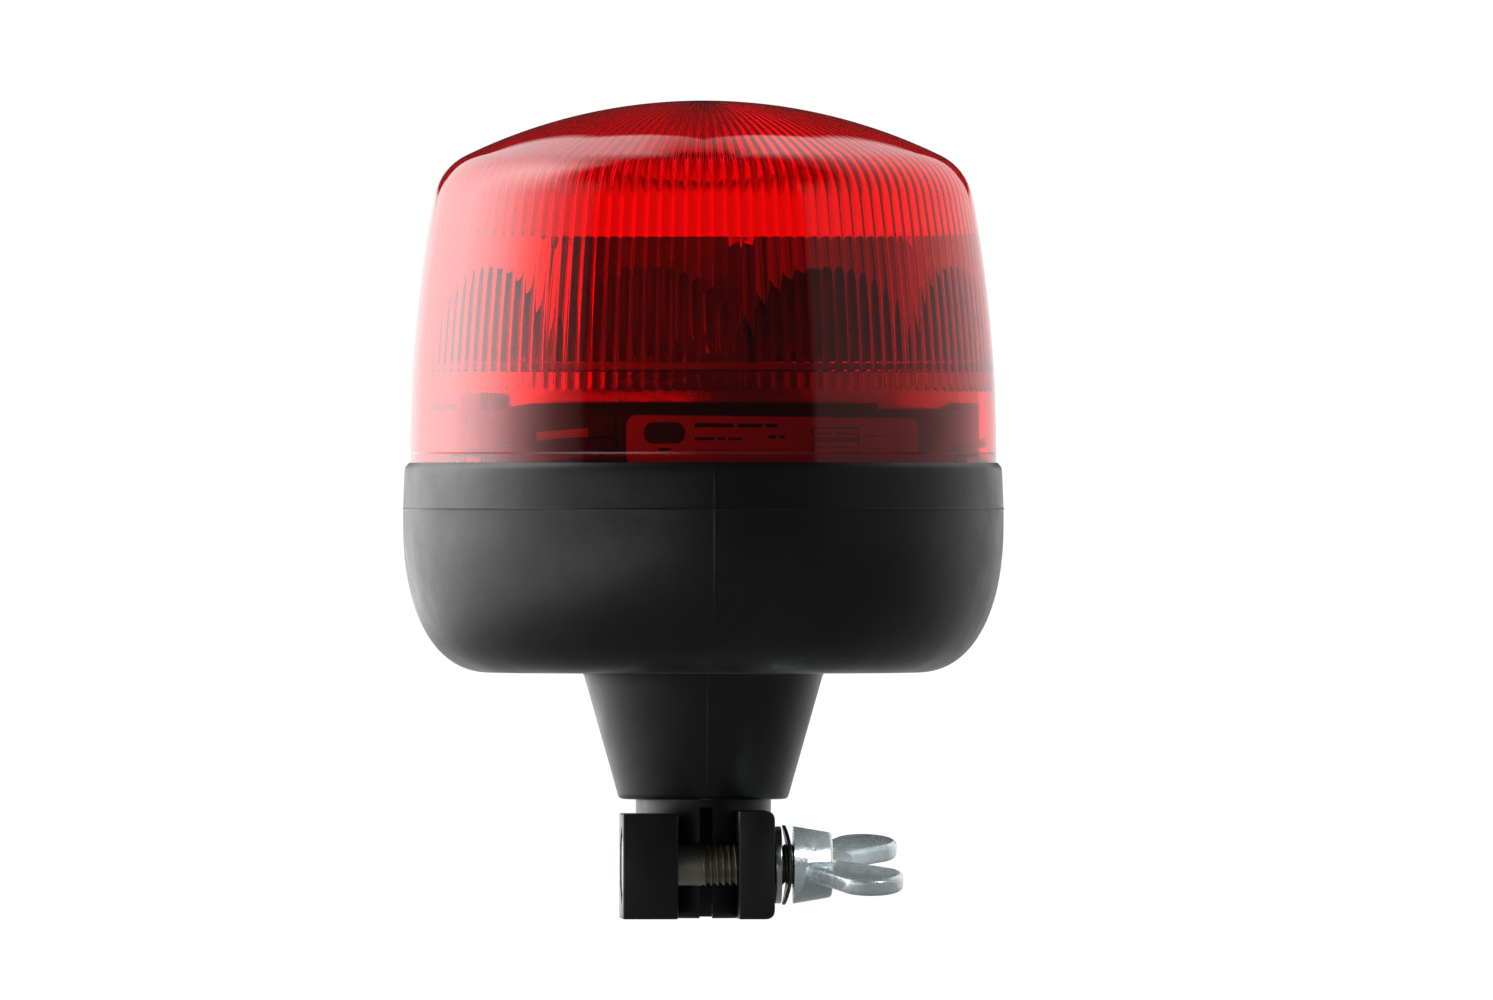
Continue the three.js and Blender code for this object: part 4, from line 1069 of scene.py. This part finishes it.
place(housing_collar(), "head", "housing_black", HOUSING, "housing_collar")
place(label_patch("label_look", LABEL_SPAN, LABEL_Z, COLLAR_RADIUS + 0.3, 0.15, 2.6), "head", "label", LABEL,
      "rating_label")
place(label_print(), "head", "component_black", INK)
strips = [collar_window(turn, COLLAR_RADIUS - 1.1, COLLAR_RADIUS - 0.4, 0.15, 0.1) for turn in OPPOSITE]
place(merge("window_strips", strips), "head", "metallised_plastic", STRIP)
place(heat_sink(), "head", "aluminium", ALUMINIUM, "heat_sink")
place(led_board(), "head", "circuit_board", BOARD, "led_board")
place(reflector(), "head", "metallised_plastic", CHROME, "reflector")
place(lens(), "lens", "lens_red", LENS, "lens_dome")


# ---------------------------------------------------------------- studio

PANELS = (  # level of the surroundings by bearing, 0 towards the camera and growing to its right
    (-180, 1.0), (-150, 2.2), (-138, 3.1), (-120, 4.8), (-106, 5.0), (-94, 4.1), (-83, 2.4), (-73, 1.25),
    (-63, 0.45), (-52, 0.14), (-50, 0.02), (41.5, 0.02), (43.5, 0.2), (80, 0.27), (100, 0.45), (122, 0.8),
    (140, 1.05), (180, 1.0))
BRIGHTEST = 5.0
FILL_LIGHT = 0.022
WHITE = 1.05  # what the camera sees of the surroundings and the floor
CAMERA_BEARING = -2.4
CAMERA_DISTANCE = 7.0
FRAME_CENTRE = (0.0102, 0.0987)  # metres right of the axis and above the foot
FLOOR_Z = -60
FLOOR_RADIUS = 6000


def studio_world():
    """White for the camera; for the object soft panels at the sides, with little light elsewhere."""
    world = bpy.data.worlds.new("studio")
    bpy.context.scene.world = world
    world.use_nodes = True
    world.node_tree.nodes.clear()
    s = Nodes(world.node_tree)

    def ramp(value, low, high, to_low=0.0, to_high=1.0):
        return s.span(value, low, high, to_low, to_high, smooth=True)

    split = s.node("SeparateXYZ")
    s.link(s.node("TexCoord").outputs["Generated"], split.inputs["Vector"])
    x, y, z = split.outputs
    bearing = s.math("ARCTAN2", x, s.math("MULTIPLY", y, -1.0))
    height = s.math("MULTIPLY", s.math("ARCSINE", z), 180 / math.pi)
    stops = s.node("ValToRGB")
    s.link(s.math("ADD", s.math("DIVIDE", bearing, 2 * math.pi), 0.5), stops.inputs["Fac"])
    band = stops.color_ramp
    while len(band.elements) < len(PANELS):
        band.elements.new(0.5)
    for element, (degrees, level) in zip(band.elements, PANELS):
        element.position = degrees / 360 + 0.5
        element.color = (level / BRIGHTEST,) * 3 + (1,)
    sides = s.math("MULTIPLY", stops.outputs["Color"], BRIGHTEST)
    turned = s.math("SUBTRACT", s.math("MULTIPLY", bearing, 180 / math.pi), CAMERA_BEARING)
    away = s.math("PINGPONG", turned, 180.0)
    # a dark screen stands straight behind, widest low down and high up
    half_width = s.math("SUBTRACT", ramp(height, 11, 21, 20.5, 9), ramp(height, 34, 51, 0, 13))
    inside = s.math("SUBTRACT", half_width, s.math("SUBTRACT", 180.0, away))
    screen = s.math("MULTIPLY", ramp(inside, -0.8, 0.8), ramp(height, 3, 6))
    sides = s.math("MULTIPLY", sides, s.math("SUBTRACT", 1.0, screen))
    # the panels fade out overhead
    panel_top = s.math("SUBTRACT", ramp(away, 60, 110, 44, 66), ramp(away, 168, 178, 0, 16))
    above = s.math("SUBTRACT", height, panel_top)
    total = s.math("ADD", s.math("MULTIPLY", sides, ramp(above, -18, 6, 1, 0)), FILL_LIGHT)
    lit, white, chosen = s.node("Background"), s.node("Background"), s.node("MixShader")
    lit.inputs["Color"].default_value = white.inputs["Color"].default_value = (1.0, 1.0, 1.0, 1)
    s.link(total, lit.inputs["Strength"])
    white.inputs["Strength"].default_value = WHITE
    s.link(s.node("LightPath").outputs["Is Camera Ray"], chosen.inputs["Fac"])
    s.link(lit.outputs[0], chosen.inputs[1])
    s.link(white.outputs[0], chosen.inputs[2])
    s.link(chosen.outputs[0], s.node("OutputWorld").inputs["Surface"])


def pale_floor():
    """Plain pale floor below the clamp, brighter behind and on the left, and clear when seen from below."""
    verts = [(0, 0, FLOOR_Z)] + [at(FLOOR_RADIUS, 7.5 * i, FLOOR_Z) for i in range(48)]
    floor = make("floor", verts, [[0, 1 + i, 1 + (i + 1) % 48] for i in range(48)])
    if floor.data.polygons[0].normal.z < 0:
        floor.data.flip_normals()
    material = bpy.data.materials.new("pale_floor")
    material.use_nodes = True
    material.node_tree.nodes.clear()
    s = Nodes(material.node_tree)
    split = s.node("SeparateXYZ")
    s.link(s.node("TexCoord").outputs["Object"], split.inputs["Vector"])
    leftward = s.span(split.outputs["X"], -0.16, -0.46, 0.0, 1.6, smooth=True)
    backward = s.span(split.outputs["Y"], -0.1, 0.5, 0.15, 0.8, smooth=True)
    lighting, seen = s.node("Emission"), s.node("Emission")
    s.link(s.math("ADD", leftward, backward), lighting.inputs["Strength"])
    seen.inputs["Strength"].default_value = WHITE
    by_ray, by_side = s.node("MixShader"), s.node("MixShader")
    s.link(s.node("LightPath").outputs["Is Camera Ray"], by_ray.inputs["Fac"])
    s.link(lighting.outputs[0], by_ray.inputs[1])
    s.link(seen.outputs[0], by_ray.inputs[2])
    s.link(s.node("NewGeometry").outputs["Backfacing"], by_side.inputs["Fac"])
    s.link(by_ray.outputs[0], by_side.inputs[1])
    s.link(s.node("BsdfTransparent").outputs[0], by_side.inputs[2])
    s.link(by_side.outputs[0], s.node("OutputMaterial").inputs["Surface"])
    floor.data.materials.append(material)


def clamp_light():
    """Small narrow light from the front right that reaches the wing nut under the bowl."""
    target = Vector((NUT_X + 16, BOLT_Y, BOLT_Z)) * MM
    away = Vector((0.45, -0.72, 0.53)).normalized()
    data = bpy.data.lights.new("clamp_light", "AREA")
    data.energy = 0.0032
    data.size = 0.02
    data.spread = math.radians(3.2)
    light = bpy.data.objects.new("clamp_light", data)
    bpy.context.scene.collection.objects.link(light)
    light.location = target + away * 0.9
    light.rotation_euler = away.to_track_quat("Z", "Y").to_euler()
    light.visible_camera = False


def camera():
    """Nearly parallel view from the front, a little left of the split, with the axis left of the middle."""
    azimuth = math.radians(CAMERA_BEARING)
    right = Vector((math.cos(azimuth), math.sin(azimuth), 0))
    back = Vector((math.sin(azimuth), -math.cos(azimuth), 0))
    aside, up = FRAME_CENTRE
    data = bpy.data.cameras.new("camera")
    data.sensor_width = 36
    data.lens = 714
    data.clip_start, data.clip_end = 0.1, 60
    obj = bpy.data.objects.new("camera", data)
    bpy.context.scene.collection.objects.link(obj)
    obj.location = back * CAMERA_DISTANCE + right * aside + Vector((0, 0, up))
    obj.rotation_euler = back.to_track_quat("Z", "Y").to_euler()
    bpy.context.scene.camera = obj


bpy.context.scene.view_settings.view_transform = "Standard"
studio_world()
pale_floor()
clamp_light()
camera()
